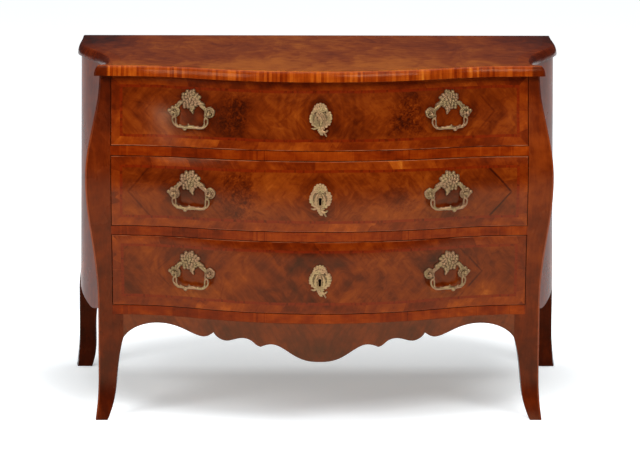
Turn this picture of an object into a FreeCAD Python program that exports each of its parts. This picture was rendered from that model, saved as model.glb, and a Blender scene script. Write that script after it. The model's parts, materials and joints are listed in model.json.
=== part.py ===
"""A bombe chest of three drawers: serpentine front, swelling corners, shaped top and four sabre legs.

X runs to the chest's right as one faces it, the front looks along -Y and +Z is up, in millimetres.
The origin is on the floor, under the middle of the chest's overall width and depth.
All the outer pieces are cut from one carved form, so that their faces meet flush.
"""
import FreeCAD, Part
import math
import os
import re
from FreeCAD import Placement, Rotation, Vector

doc = FreeCAD.newDocument("bombe_chest")


# ---------------------------------------------------------------------------
# Driving dimensions, in millimetres
# ---------------------------------------------------------------------------
DRIVING = {
    # heights above the floor
    "overall_height": 850,
    "top_thickness": 24,
    "upper_divider_height": 641,
    "lower_divider_height": 449.5,
    "bottom_rail_height": 253,
    "rail_thickness": 22,
    "belly_height": 590,
    "ankle_height": 120,
    # plan, measured from the plane of the front corners
    "carcass_depth": 585,
    "centre_reach": 121.5,
    "corner_reach": 9,
    "opening_half": 491.5,
    "turn_half": 295,
    "corner_half_top": 518,
    "corner_half_knee": 526,
    "corner_facet": 4,
    "notch_half": 498,
    "notch_depth": 45,
    "swell_half_top": 585.5,
    "swell_half_knee": 593,
    "swell_depth": 430,
    "back_half_top": 589,
    "back_half_knee": 597,
    # swellings of the carved form
    "belly_out": 30,
    "belly_forward": 42,
    "belly_centre": 11,
    "foot_flare_out": 7,
    "foot_flare_forward": 26,
    "rear_kick_out": 10,
    "rear_kick_rise": 100,
    "rear_foot_flare": 8,
    # top
    "top_overhang_front": 17,
    "top_overhang_side": 9,
    "top_overhang_back": 5,
    "top_ear": 3,
    "top_nosing": 13,
    "moulding_width": 36,
    "mitre_shift": 1,
    # carcass
    "side_thickness": 20,
    "post_half": 466,
    "rear_post_half": 545,
    "rear_post_depth": 45,
    "dust_board_thickness": 12,
    "back_board_thickness": 12,
    "back_board_recess": 8,
    "back_board_lap": 12,
    "back_board_gap": 0.5,
    "apron_drop": 92,
    "apron_thickness": 24,
    "front_spring_drop": 57,
    "rear_spring_drop": 18,
    "side_spring_drop": 17,
    "side_pendant_drop": 46,
    "overcut": 1,
    "guide_width": 12,
    "guide_height": 14,
    "stop_height": 5,
    "stop_length": 24,
    "stop_half": 150,
    # drawers
    "drawer_gap": 1.5,
    "drawer_clearance": 1,
    "running_gap": 0.3,
    "front_thickness": 24,
    "drawer_side_thickness": 12,
    "drawer_back_gap": 65,
    "drawer_headroom": 10,
    "drawer_bottom_thickness": 8,
    "drawer_bottom_lift": 8,
    "drawer_bottom_groove": 6,
    "tail_length": 12,
    "tail_width": 26,
    "tail_neck": 19,
    "tail_root": 6,
    # mounts of the drawers
    "handle_half": 297.5,
    "pivot_half": 46.5,
    "pivot_stand_off": 15,
    "pin_reach": 5.5,
    "bail_radius": 2.4,
    "bail_drop": 33,
    "bail_corner_radius": 9,
    "bail_hip_radius": 4.5,
    "bail_knob_radius": 5,
    "bail_knob_half": 14,
    "bail_leaf_half": 13,
    "bail_leaf_radius": 3.8,
    "pivot_clearance": 0.05,
    "post_head_radius": 5,
    "post_shank_radius": 3,
    "post_clearance": 0.2,
    "nut_across": 14,
    "nut_thickness": 6,
    "plate_thickness": 3,
    "key_drop": 5,
    "key_bore_radius": 3.2,
    "key_slot_width": 4.6,
    "key_slot_length": 14,
    "lock_width": 70,
    "lock_depth": 16,
    "lock_below_key": 24,
    "lock_wall": 2,
    "lock_let_in": 3,
    "lock_top_gap": 2.5,
    "bolt_width": 28,
    "bolt_thickness": 6,
    "bolt_length": 30,
    "bolt_throw": 9,
    "bolt_clearance": 0.3,
    "cover_length": 34,
    "cover_half_width": 7.5,
    "cover_thickness": 2.5,
    "cover_gap": 0.5,
    "rivet_height": 20,
    "rivet_radius": 1.6,
    "rivet_head_radius": 3,
    "rivet_head_thickness": 1.2,
}

# Shares of a curve, not lengths: how the swelling leans and how sharply the corner's ear turns in.
BELLY_SKEW = 1.1
NOTCH_POWER = 3
SIDE_SKEW = 1.25
FLARE_POWER = 2.5

TAILS_PER_END = 3
BACK_BOARDS = 3
HALVINGS = 40
FAR = 900


def fill_sheet(name, values):
    """A spreadsheet with one named plain number in each row."""
    sheet = doc.addObject("Spreadsheet::Sheet", name)
    for row, (alias, value) in enumerate(values.items(), start=1):
        sheet.set("A%d" % row, alias)
        sheet.set("B%d" % row, repr(value))
        sheet.setAlias("B%d" % row, alias)
    doc.recompute()
    return sheet


sizes = fill_sheet("Sizes", DRIVING)


def size(name):
    return float(sizes.get(name))


# ---------------------------------------------------------------------------
# The carved form: how far its outline reaches at each height
# ---------------------------------------------------------------------------
case_top = size("overall_height") - size("top_thickness")
knee = size("bottom_rail_height")
front_extent = size("centre_reach") + size("top_overhang_front")
back_extent = size("carcass_depth") + size("top_overhang_back")
corner_plane = (front_extent - back_extent) / 2


def blend(start, end, share):
    return start + (end - start) * share


def ease(share):
    share = min(max(share, 0.0), 1.0)
    return (1 - math.cos(math.pi * share)) / 2


def rise(z):
    """0 at the knee and below, 1 at the top of the case."""
    return min(max((z - knee) / (case_top - knee), 0.0), 1.0)


def belly(z):
    """0 at the knee and at the top of the case, 1 at the height of the belly."""
    if z >= size("belly_height"):
        return ease((case_top - z) / (case_top - size("belly_height")))
    return ease(max((z - knee) / (size("belly_height") - knee), 0.0) ** BELLY_SKEW)


def flare(z):
    """1 at the sole, 0 at the ankle and above."""
    return max(1 - z / size("ankle_height"), 0.0) ** FLARE_POWER


def outline_at(z):
    """The reaches of the case's horizontal outline at one height."""
    kick = ease((knee + size("rear_kick_rise") / 2 - z) / size("rear_kick_rise"))
    corner = blend(size("corner_half_knee"), size("corner_half_top"), rise(z))
    rear = blend(size("back_half_knee"), size("back_half_top"), rise(z))
    swelling = blend(size("swell_half_knee"), size("swell_half_top"), rise(z))
    return {
        "centre": size("centre_reach") + size("belly_centre") * belly(z),
        "corner": size("corner_reach") + size("belly_forward") * belly(z)
        + size("foot_flare_forward") * flare(z),
        "corner_half": corner + size("belly_out") * belly(z) + size("foot_flare_out") * flare(z),
        "notch_half": size("notch_half"),
        "swell_half": swelling,
        "back_half": rear + size("rear_kick_out") * kick + size("rear_foot_flare") * flare(z),
        "back": size("carcass_depth"),
    }


def narrower(outline, inset):
    """The same outline with its two sides drawn in."""
    changed = dict(outline)
    for side in ("corner_half", "notch_half", "swell_half", "back_half"):
        changed[side] -= inset
    return changed


def serpentine(x, centre, corner):
    """The front's Y at x: a convex arc that turns into a concave one, level at the opening's edge."""
    x = abs(x)
    edge = size("opening_half")
    turn = size("turn_half")
    angle = 2 * math.atan((centre - corner) / edge)
    convex = turn / math.sin(angle)
    concave = (edge - turn) / math.sin(angle)
    if x <= turn:
        return corner_plane - centre + convex - math.sqrt(convex ** 2 - x ** 2)
    return corner_plane - corner - concave + math.sqrt(concave ** 2 - (edge - x) ** 2)


def front_y(x, z):
    outline = outline_at(z)
    return serpentine(x, outline["centre"], outline["corner"])


def front_curve(half, z, centre, corner, steps=12):
    """A smooth edge along the serpentine, from -half to +half."""
    points = []
    for step in range(-steps, steps + 1):
        x = half * step / steps
        points.append(Vector(x, serpentine(x, centre, corner), z))
    curve = Part.BSplineCurve()
    curve.interpolate(points)
    return curve.toShape()


def side_points(outline, z):
    """The right side from the front corner back: in to the notch, out to the swell, on to the back."""
    facet = size("corner_facet")
    corner_half = outline["corner_half"]
    start = serpentine(corner_half - facet, outline["centre"], outline["corner"]) + facet
    notch = corner_plane + size("notch_depth")
    swell = corner_plane + size("swell_depth")
    back = corner_plane + outline["back"]
    points = []
    for step in range(5):
        y = blend(start, notch, step / 5)
        share = ((notch - y) / (notch - start)) ** NOTCH_POWER
        points.append(Vector(blend(outline["notch_half"], corner_half, share), y, z))
    for step in range(10):
        share = ease((step / 9) ** SIDE_SKEW)
        x = blend(outline["notch_half"], outline["swell_half"], share)
        points.append(Vector(x, blend(notch, swell, step / 9), z))
    for share in (0.5, 1):
        x = blend(outline["swell_half"], outline["back_half"], share)
        points.append(Vector(x, blend(swell, back, share), z))
    return points


def mirrored(points):
    return [Vector(-point.x, point.y, point.z) for point in reversed(points)]


def through(points):
    curve = Part.BSplineCurve()
    curve.interpolate(points)
    return curve.toShape()


def line(start, end):
    return Part.LineSegment(start, end).toShape()


def outline_wire(outline, z):
    """The closed horizontal outline: front, corner facets, sides and back."""
    right = side_points(outline, z)
    left = mirrored(right)
    half = outline["corner_half"] - size("corner_facet")
    front = front_curve(half, z, outline["centre"], outline["corner"])
    front_left = front.Vertexes[0].Point
    front_right = front.Vertexes[-1].Point
    edges = [
        front,
        line(front_right, right[0]),
        through(right),
        line(right[-1], left[0]),
        through(left),
        line(left[-1], front_left),
    ]
    return Part.Wire(edges)


def levels(*stretches):
    """Heights for a loft's sections: each stretch is a start, an end and a count of steps."""
    heights = []
    for start, end, steps in stretches:
        for step in range(steps):
            heights.append(blend(start, end, step / steps))
    heights.append(stretches[-1][1])
    return heights


# ---------------------------------------------------------------------------
# Sizes that follow from the driving ones, kept in a sheet so that pieces can be bound to them
# ---------------------------------------------------------------------------
def opening(number):
    """The lower and upper height of a drawer's opening, counted from the top."""
    thickness = size("rail_thickness")
    floors = [
        size("upper_divider_height") + thickness,
        size("lower_divider_height") + thickness,
        size("bottom_rail_height") + thickness,
    ]
    ceilings = [case_top, size("upper_divider_height"), size("lower_divider_height")]
    return floors[number - 1], ceilings[number - 1]


def least_reach(number, which):
    """How far a drawer's front comes forward where it comes forward least."""
    low, high = opening(number)
    return min(outline_at(z)[which] for z in levels((low, high, 8)))


def work_out():
    gap = size("drawer_gap")
    worked = {
        "case_top": case_top,
        "corner_plane": corner_plane,
        "back_plane": corner_plane + size("carcass_depth"),
        "notch_plane": corner_plane + size("notch_depth"),
        "rear_post_plane": corner_plane + size("carcass_depth") - size("rear_post_depth"),
        "drawer_box_half": size("post_half") - 2 * size("drawer_clearance") - size("drawer_gap"),
        "top_rail_underside": case_top - size("rail_thickness"),
    }
    deepest = 0
    for number in (1, 2, 3):
        low, high = opening(number)
        corner = least_reach(number, "corner")
        centre = least_reach(number, "centre")
        ceiling = worked["top_rail_underside"] if number == 1 else high
        middle = (low + high) / 2
        half = worked["drawer_box_half"] - size("drawer_side_thickness") / 2
        thickness = size("front_thickness")
        inner = serpentine(half, centre - thickness, corner - thickness)
        deepest = max(deepest, thickness - corner)
        worked["drawer_%d_floor" % number] = low
        worked["drawer_%d_ceiling" % number] = high
        worked["drawer_%d_low" % number] = low + gap
        worked["drawer_%d_high" % number] = high - gap
        worked["drawer_%d_side_top" % number] = ceiling - size("drawer_headroom")
        worked["drawer_%d_inner_end" % number] = inner
        worked["drawer_%d_inner_centre" % number] = corner_plane - centre + thickness
        worked["drawer_%d_key" % number] = middle - size("key_drop")
        worked["drawer_%d_pivot" % number] = middle
        worked["drawer_%d_lock_top" % number] = ceiling - size("lock_top_gap")
    worked["rebate_plane"] = corner_plane + deepest + size("drawer_clearance")
    return worked


WORKED = work_out()
worked_sheet = fill_sheet("Worked", WORKED)


def linked(expression):
    """Turns the names in an expression into references to the two sheets."""
    def reference(found):
        name = found.group()
        if name in DRIVING:
            return "Sizes." + name
        if name in WORKED:
            return "Worked." + name
        return name
    return re.sub(r"[a-z_][a-z_0-9]*", reference, str(expression))


# ---------------------------------------------------------------------------
# Small tools for building bound objects
# ---------------------------------------------------------------------------
sub_parts = {}


def bind(obj, **expressions):
    for prop, expression in expressions.items():
        obj.setExpression(prop.replace("__", "."), linked(expression))
    return obj


def box(name, x, y, z):
    """A box between pairs of expressions for its limits along X, Y and Z."""
    made = doc.addObject("Part::Box", name)
    limits = {}
    for prop, axis, (low, high) in (("Length", "x", x), ("Width", "y", y), ("Height", "z", z)):
        limits[prop] = "(%s) - (%s)" % (high, low)
        limits["Placement__Base__" + axis] = low
    return bind(made, **limits)


def feature(name, shape):
    made = doc.addObject("Part::Feature", name)
    made.Shape = shape
    return made


def extrusion(name, wire, direction, length):
    """A prism on a closed flat wire."""
    base = feature(name + "_outline", Part.Face(wire))
    made = doc.addObject("Part::Extrusion", name)
    made.Base = base
    made.DirMode = "Custom"
    made.Dir = direction
    made.Solid = True
    return bind(made, LengthFwd=length)


def common(name, *shapes):
    made = doc.addObject("Part::MultiCommon", name)
    made.Shapes = list(shapes)
    return made


def fuse(name, *shapes):
    made = doc.addObject("Part::MultiFuse", name)
    made.Shapes = list(shapes)
    made.Refine = True
    return made


def cut(name, base, tool):
    made = doc.addObject("Part::Cut", name)
    made.Base = base
    made.Tool = tool
    return made


def group(name, *shapes):
    made = doc.addObject("Part::Compound", name)
    made.Links = list(shapes)
    return made


def mirror(name, source):
    """The same piece for the chest's other side."""
    made = doc.addObject("Part::Mirroring", name)
    made.Source = source
    made.Base = Vector(0, 0, 0)
    made.Normal = Vector(1, 0, 0)
    return made


def sub_part(node, obj):
    obj.Label = node
    sub_parts[node] = obj
    return obj


def both_sides(piece, right):
    """Names a right-hand piece and its mirror image."""
    sub_part(piece % "right", right)
    return sub_part(piece % "left", mirror("mirrored_" + piece % "left", right))


def loft(name, outline_of, heights):
    """A solid through horizontal outlines."""
    sections = [feature("%s_section_%d" % (name, index), outline_wire(outline_of(z), z))
                for index, z in enumerate(heights)]
    made = doc.addObject("Part::Loft", name)
    made.Sections = sections
    made.Solid = True
    made.Ruled = False
    return made


def behind_front(name, reaches, allowance, low, high):
    """Everything behind a serpentine face that stands the front's thickness, or more, behind the form."""
    centre, corner = reaches
    setback = size("front_thickness") + allowance
    half = size("corner_half_knee") + size("belly_out")
    front = front_curve(half, size("bottom_rail_height"), centre - setback, corner - setback)
    left = front.Vertexes[0].Point
    right = front.Vertexes[-1].Point
    back = corner_plane + size("carcass_depth")
    rear_right = Vector(right.x, back, right.z)
    rear_left = Vector(left.x, back, left.z)
    edges = [front, line(right, rear_right), line(rear_right, rear_left), line(rear_left, left)]
    base = feature(name + "_plan", Part.Face(Part.Wire(edges)))
    bind(base, Placement__Base__z="(%s) - bottom_rail_height" % low)
    made = doc.addObject("Part::Extrusion", name)
    made.Base = base
    made.DirMode = "Custom"
    made.Dir = Vector(0, 0, 1)
    made.Solid = True
    return bind(made, LengthFwd="(%s) - (%s)" % (high, low))


# ---------------------------------------------------------------------------
# The forms
# ---------------------------------------------------------------------------
form = loft("CaseForm", outline_at, levels((0, knee, 9), (knee, case_top, 14)))


def inner_outline(z):
    return narrower(outline_at(z), size("side_thickness"))


inner_bottom = knee - size("side_pendant_drop") - 10 * size("overcut")
inner_form = loft("InnerForm", inner_outline, levels((inner_bottom, knee, 3), (knee, case_top, 14)))


def plan_wire(points, y=None, x=None):
    """A closed smooth or straight-edged outline in an upright plane: runs of points, each one edge."""
    edges = []
    for run in points:
        placed = []
        for across, up in run:
            placed.append(Vector(across, y, up) if x is None else Vector(x, across, up))
        edges.append(line(*placed) if len(placed) == 2 else through(placed))
    return Part.Wire(edges)


# ---------------------------------------------------------------------------
# Legs, each with its corner post
# ---------------------------------------------------------------------------
# The curved lower edges of the legs: how far each point stands off its post's edge, and its height.
FRONT_LEG_FACE = [(10, 150), (16.5, 95), (20, 60), (28, 25), (38, 0)]
FRONT_LEG_FLANK = [(4, 180), (8, 120), (14, 70), (27, 30), (49, 0)]
REAR_LEG_FACE = [(8, 185), (15.5, 145), (17.5, 90), (20, 35), (29, 0)]
REAR_LEG_FLANK = [(5, 190), (7, 120), (10, 50), (14, 0)]


def leg_view(edge, spring, curve, away):
    """A post's straight edge above the spring and the leg's curve below it, closed far off on one side."""
    side = math.copysign(1, away)
    lower = [(edge, spring)] + [(edge + side * off, up) for off, up in curve]
    return [
        [(edge, case_top), (edge, spring)],
        lower,
        [lower[-1], (away, 0)],
        [(away, 0), (away, case_top)],
        [(away, case_top), (edge, case_top)],
    ]


def leg_block(name, face, flank):
    """What two outlines, one seen from the front and one from the side, leave of the carved form."""
    front_view = extrusion(name + "_face", plan_wire(face, y=-FAR), Vector(0, 1, 0), 2 * FAR)
    side_view = extrusion(name + "_flank", plan_wire(flank, x=0), Vector(1, 0, 0), FAR)
    return common(name + "_whole", form, front_view, side_view)


def front_leg():
    """The right front leg: sabre-shaped below, and a post with a rebate for the drawers above."""
    face = leg_view(size("post_half"), knee - size("front_spring_drop"), FRONT_LEG_FACE, FAR)
    flank = leg_view(WORKED["notch_plane"], knee - size("side_spring_drop"), FRONT_LEG_FLANK, -FAR)
    whole = leg_block("front_leg", face, flank)
    rebate = box("front_leg_rebate", ("0", "opening_half"), (-FAR, "rebate_plane"),
                 ("bottom_rail_height", "case_top"))
    return cut("front_leg", whole, rebate)


def rear_leg():
    """The right rear leg, with a post that is rebated for the back boards."""
    face = leg_view(size("rear_post_half"), knee - size("rear_spring_drop"), REAR_LEG_FACE, FAR)
    flank = leg_view(WORKED["rear_post_plane"], knee - size("side_spring_drop"), REAR_LEG_FLANK, FAR)
    whole = leg_block("rear_leg", face, flank)
    back_face = "back_plane - back_board_recess - back_board_thickness"
    rebate = box("rear_leg_rebate", ("0", "rear_post_half + back_board_lap"), (back_face, FAR),
                 ("bottom_rail_height", "case_top"))
    return cut("rear_leg", whole, rebate)


both_sides("front_%s_leg", front_leg())
both_sides("rear_%s_leg", rear_leg())


# ---------------------------------------------------------------------------
# Sides, rails, boards and apron
# ---------------------------------------------------------------------------
# The side's lower edge from the post to the middle: the share of the half length that each point stands
# off the middle, and how far it lies below the knee.
SIDE_EDGE = [(0.78, -1), (0.56, 4), (0.34, 22), (0.13, 40)]


def side():
    """The right side panel between the posts, with a pendant on its lower edge."""
    front = WORKED["notch_plane"]
    back = WORKED["rear_post_plane"]
    middle = (front + back) / 2
    half = (back - front) / 2
    edge = [(1, size("side_spring_drop")), *SIDE_EDGE, (0, size("side_pendant_drop"))]
    lower = [(middle - share * half, knee - below) for share, below in edge]
    lower += [(middle + share * half, knee - below) for share, below in reversed(edge[:-1])]
    panel = [
        [(front, case_top), lower[0]],
        lower,
        [lower[-1], (back, case_top)],
        [(back, case_top), (front, case_top)],
    ]
    prism = extrusion("side_panel", plan_wire(panel, x=0), Vector(1, 0, 0), FAR)
    return cut("side", common("side_whole", form, prism), inner_form)


both_sides("%s_side", side())

post_blocks = group(
    "post_blocks",
    box("post_block_right", ("post_half", FAR), ("rebate_plane", "notch_plane"), (0, "case_top")),
    box("post_block_left", (-FAR, "-post_half"), ("rebate_plane", "notch_plane"), (0, "case_top")),
)


def rail(name, low):
    """A rail across the front: its edge follows the form and its ends lap into the posts."""
    blank = box(name + "_blank", ("-opening_half", "opening_half"), (-FAR, "notch_plane"),
                (low, "%s + rail_thickness" % low))
    return cut(name, common(name + "_whole", form, blank), post_blocks)


def dust_board(name, top):
    """A board between the sides that a drawer runs on."""
    blank = box(name + "_blank", (-FAR, FAR), ("notch_plane", "rear_post_plane"),
                ("%s - dust_board_thickness" % top, top))
    return common(name, inner_form, blank)


def mortise(name, number):
    """The slot that a lock's bolt rises into."""
    half = "(bolt_width / 2 + bolt_clearance)"
    low = "drawer_%d_lock_top" % number
    middle = "(drawer_%d_inner_centre + lock_depth / 2 - lock_let_in)" % number
    depth = "(bolt_thickness / 2 + bolt_clearance)"
    return box(name, ("-" + half, half), (middle + " - " + depth, middle + " + " + depth),
               (low, "%s + bolt_throw + lock_top_gap + overcut" % low))


def divider(node, low, number):
    """A rail between two drawers, mortised for the bolt of the lower one."""
    whole = rail(node + "_solid", low)
    return sub_part(node, cut(node + "_mortised", whole, mortise(node + "_mortise", number)))


divider("upper_divider", "upper_divider_height", 2)
divider("lower_divider", "lower_divider_height", 3)
sub_part("bottom_rail", rail("bottom_rail_solid", "bottom_rail_height"))

DUST_BOARDS = {"upper_dust_board": 1, "lower_dust_board": 2, "bottom_board": 3}
for node, number in DUST_BOARDS.items():
    sub_part(node, dust_board(node + "_solid", "drawer_%d_floor" % number))


def drawer_reaches(number):
    return least_reach(number, "centre"), least_reach(number, "corner")


def top_rail():
    """The rail under the top, behind the upper drawer's front."""
    blank = box("top_rail_blank", ("-post_half", "post_half"), (-FAR, "notch_plane"),
                ("top_rail_underside", "case_top"))
    behind = behind_front("top_rail_front", drawer_reaches(1), size("drawer_clearance"),
                          "top_rail_underside - overcut", "case_top + overcut")
    return cut("top_rail_mortised", common("top_rail_whole", blank, behind), mortise("top_rail_mortise", 1))


sub_part("top_rail", top_rail())


# The apron's lower edge from the right post to the middle, in three curves that meet in two cusps: how far
# each point stands off the middle, and how far it lies below the knee.
APRON_CUSP = (250, 31)
APRON_NIB = (137.7, 58.3)
APRON_ARCH = [(452, 41.5), (402, 20.3), (370, 18.5), (330, 26), (294, 39.4), (270, 42.4), (255, 35)]
APRON_LOBE = [(240, 42), (222.5, 48.3), (187, 40.2), (160, 45.5), (145.5, 56.5)]
APRON_DROP = [(128.5, 54.5), (112, 51.6), (93, 57), (58, 78.3), (30, 89.4)]


def apron():
    """The scalloped apron under the bottom rail, cusped each side of a central drop."""
    post = size("post_half")

    def curve(*points):
        return [(across, knee - below) for across, below in points]

    def to_left(points):
        return [(-across, up) for across, up in reversed(points)]

    arch = curve((post, size("front_spring_drop")), *APRON_ARCH, APRON_CUSP)
    lobe = curve(APRON_CUSP, *APRON_LOBE, APRON_NIB)
    drop = curve(APRON_NIB, *APRON_DROP, (0, size("apron_drop")))
    whole_drop = drop + to_left(drop[:-1])
    left_lobe = to_left(lobe)
    left_arch = to_left(arch)
    outline = [
        arch,
        lobe,
        whole_drop,
        left_lobe,
        left_arch,
        [left_arch[-1], (-post, knee)],
        [(-post, knee), (post, knee)],
        [(post, knee), arch[0]],
    ]
    board = extrusion("apron_board", plan_wire(outline, y=-FAR), Vector(0, 1, 0), 2 * FAR)
    reaches = (size("centre_reach"), size("corner_reach"))
    allowance = size("apron_thickness") - size("front_thickness")
    behind = behind_front("apron_back", reaches, allowance, 0, "bottom_rail_height + overcut")
    return cut("apron", common("apron_whole", form, board), behind)


sub_part("front_apron", apron())


def back_boards():
    """Level boards nailed into the rear posts' rebates."""
    boards = []
    for index in range(BACK_BOARDS):
        step = "(case_top - bottom_rail_height + back_board_gap) / %d" % BACK_BOARDS
        low = "bottom_rail_height + %d * %s" % (index, step)
        high = "bottom_rail_height + %d * %s - back_board_gap" % (index + 1, step)
        half = "rear_post_half + back_board_lap"
        behind = "back_plane - back_board_recess"
        boards.append(box("back_board_%d" % (index + 1), ("-(%s)" % half, half),
                          ("%s - back_board_thickness" % behind, behind), (low, high)))
    return group("back_board_set", *boards)


sub_part("back_boards", back_boards())


def drawer_guides():
    """Strips on the dust boards that keep the drawers straight."""
    strips = []
    for number in (1, 2, 3):
        floor = "drawer_%d_floor" % number
        inner = "(drawer_box_half + drawer_clearance)"
        right = box("guide_%d" % number, (inner, inner + " + guide_width"),
                    ("notch_plane", "rear_post_plane"), (floor, floor + " + guide_height"))
        strips += [right, mirror("guide_%d_left" % number, right)]
    return group("guide_set", *strips)


sub_part("drawer_guides", drawer_guides())


def drawer_stops():
    """Blocks on the rails that the closed drawers' fronts come to rest against."""
    blocks = []
    for number in (1, 2, 3):
        centre, corner = drawer_reaches(number)
        near = size("stop_half") + size("stop_length") / 2
        setback = size("front_thickness")
        inner = serpentine(near, centre - setback, corner - setback) + size("running_gap")
        floor = "drawer_%d_floor" % number
        right = box("stop_%d" % number, ("stop_half - stop_length / 2", "stop_half + stop_length / 2"),
                    (inner, "%s + stop_length" % inner), (floor, floor + " + stop_height"))
        blocks += [right, mirror("stop_%d_left" % number, right)]
    return group("stop_set", *blocks)


sub_part("drawer_stops", drawer_stops())


# ---------------------------------------------------------------------------
# The top: a board with a cross-banded moulding along its front and sides
# ---------------------------------------------------------------------------
def top_outline(inset):
    case = outline_at(case_top)
    over = size("top_overhang_side") - inset
    return {
        "centre": case["centre"] + size("top_overhang_front") - inset,
        "corner": case["corner"] + size("top_overhang_front") - inset,
        "corner_half": case["corner_half"] + over + size("top_ear"),
        "notch_half": case["notch_half"] + over,
        "swell_half": case["swell_half"] + over,
        "back_half": case["back_half"] + over / 2,
        "back": case["back"] + size("top_overhang_back"),
    }


def nosing(z):
    """The outline at one height of the top's edge, a quarter round that stands out furthest below."""
    share = (z - case_top) / size("top_thickness")
    inset = size("top_nosing") * (1 - math.sqrt(max(1 - share ** 2, 0)))
    return top_outline(inset)


def crowded_levels(low, high, steps):
    """Heights that crowd towards both ends, where a rounded edge turns fastest."""
    return [blend(low, high, ease(step / steps)) for step in range(steps + 1)]


def region(name, corners):
    """An upright prism through the whole thickness of the top."""
    lowered = [corner - Vector(0, 0, size("overcut")) for corner in corners]
    return extrusion(name, Part.makePolygon(lowered + lowered[:1]), Vector(0, 0, 1),
                     "top_thickness + 2 * overcut")


def top():
    """The board, and the moulding as three mitred lengths."""
    whole = loft("TopForm", nosing, crowded_levels(case_top, size("overall_height"), 10))
    inset = size("moulding_width")
    core_outline = outline_wire(top_outline(inset), case_top - size("overcut"))
    core = extrusion("top_core", core_outline, Vector(0, 0, 1), "top_thickness + 2 * overcut")
    tip = side_points(top_outline(0), case_top)[0]
    heel = side_points(top_outline(inset), case_top)[0]
    outer = tip + (tip - heel)
    heel = heel - Vector(size("mitre_shift"), 0, 0)
    side_corners = [heel, Vector(0, heel.y, heel.z), Vector(0, FAR, heel.z), Vector(FAR, FAR, heel.z),
                    Vector(FAR, outer.y, outer.z), outer]
    front_corners = [heel, outer, Vector(outer.x, -FAR, outer.z)]
    edge = cut("top_edge", whole, core)
    right = common("moulding_right", edge, region("moulding_side_region", side_corners))
    left = mirror("moulding_left", right)
    front = common("moulding_front", edge, region("moulding_front_region",
                                                  front_corners + mirrored(front_corners)))
    sub_part("top_board", common("top_board_solid", whole, core))
    sub_part("top_moulding", group("moulding_set", front, right, left))


top()


# ---------------------------------------------------------------------------
# Drawers
# ---------------------------------------------------------------------------
def tail(name, height, y_low, y_high, to_front):
    """One dovetail on a drawer's right side, widest at its end."""
    made = doc.addObject("Part::Wedge", name)
    inner = "drawer_box_half - drawer_side_thickness"
    first, last = ("tail_width", "tail_neck") if to_front else ("tail_neck", "tail_width")
    return bind(
        made,
        Xmin=inner, Xmax="drawer_box_half", X2min=inner, X2max="drawer_box_half",
        Ymin=y_low, Ymax=y_high,
        Zmin="%s - %s / 2" % (height, first), Zmax="%s + %s / 2" % (height, first),
        Z2min="%s - %s / 2" % (height, last), Z2max="%s + %s / 2" % (height, last),
    )


def tail_height(number, index):
    """The tails stand evenly between the drawer's bottom and the top of its back."""
    low = "(drawer_%d_floor + drawer_bottom_lift + drawer_bottom_thickness)" % number
    high = "(drawer_%d_side_top - drawer_headroom)" % number
    share = (index + 0.5) / TAILS_PER_END
    return "(%s + %s * (%s - %s))" % (low, share, high, low)


def drawer_side(number):
    """The right side of a drawer, dovetailed at both ends, and its tails by themselves."""
    name = "drawer_%d" % number
    inner = "%s_inner_end" % name
    back = "(back_plane - drawer_back_gap)"
    neck = "drawer_side_thickness"
    board = box(name + "_side_board", ("drawer_box_half - drawer_side_thickness", "drawer_box_half"),
                ("corner_plane - front_thickness", "%s - %s" % (back, neck)),
                ("%s_floor + running_gap" % name, "%s_side_top" % name))
    trimmed = common(name + "_side_trimmed", board, doc.getObject(name + "_behind"))
    tails = []
    for index in range(TAILS_PER_END):
        height = tail_height(number, index)
        tails.append(tail("%s_front_tail_%d" % (name, index), height,
                          "%s - tail_length" % inner, "%s + tail_root" % inner, True))
        tails.append(tail("%s_back_tail_%d" % (name, index), height,
                          "%s - %s - tail_root" % (back, neck), back, False))
    return fuse(name + "_side_tailed", trimmed, *tails), group(name + "_tails_right", *tails)


def drawer_box(number):
    """Front, sides, back and bottom of one drawer."""
    name = "drawer_%d" % number
    behind_front(name + "_behind", drawer_reaches(number), 0, "%s_floor" % name, "%s_ceiling" % name)
    side_right, tails_right = drawer_side(number)
    tails_left = mirror(name + "_tails_left", tails_right)
    back = "(back_plane - drawer_back_gap)"
    low = "(%s_floor + drawer_bottom_lift)" % name
    board_top = low + " + drawer_bottom_thickness"
    groove = "(drawer_box_half - drawer_side_thickness + drawer_bottom_groove)"
    slab = box(name + "_bottom_slab", ("-" + groove, groove), (-FAR, back), (low, board_top))
    bottom = common(name + "_bottom_solid", slab, doc.getObject(name + "_behind"))
    blank = box(name + "_front_blank", ("-opening_half + drawer_gap", "opening_half - drawer_gap"),
                (-FAR, "notch_plane"), ("%s_low" % name, "%s_high" % name))
    front = cut(name + "_front_curved", common(name + "_front_whole", form, blank),
                doc.getObject(name + "_behind"))
    sockets = group(name + "_sockets", tails_right, tails_left, lock_recess(number),
                    keyhole(number), *post_holes(number))
    rear = box(name + "_back_board", ("-drawer_box_half", "drawer_box_half"),
               ("%s - drawer_side_thickness" % back, back),
               (board_top, "%s_side_top - drawer_headroom" % name))
    sub_part(name + "_front", cut(name + "_front_solid", front, sockets))
    side_grooved = cut(name + "_side_grooved", side_right, bottom)
    both_sides(name + "_%s_side", side_grooved)
    back_sockets = group(name + "_back_sockets", tails_right, tails_left)
    sub_part(name + "_back", cut(name + "_back_solid", rear, back_sockets))
    sub_part(name + "_bottom", bottom)


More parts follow.
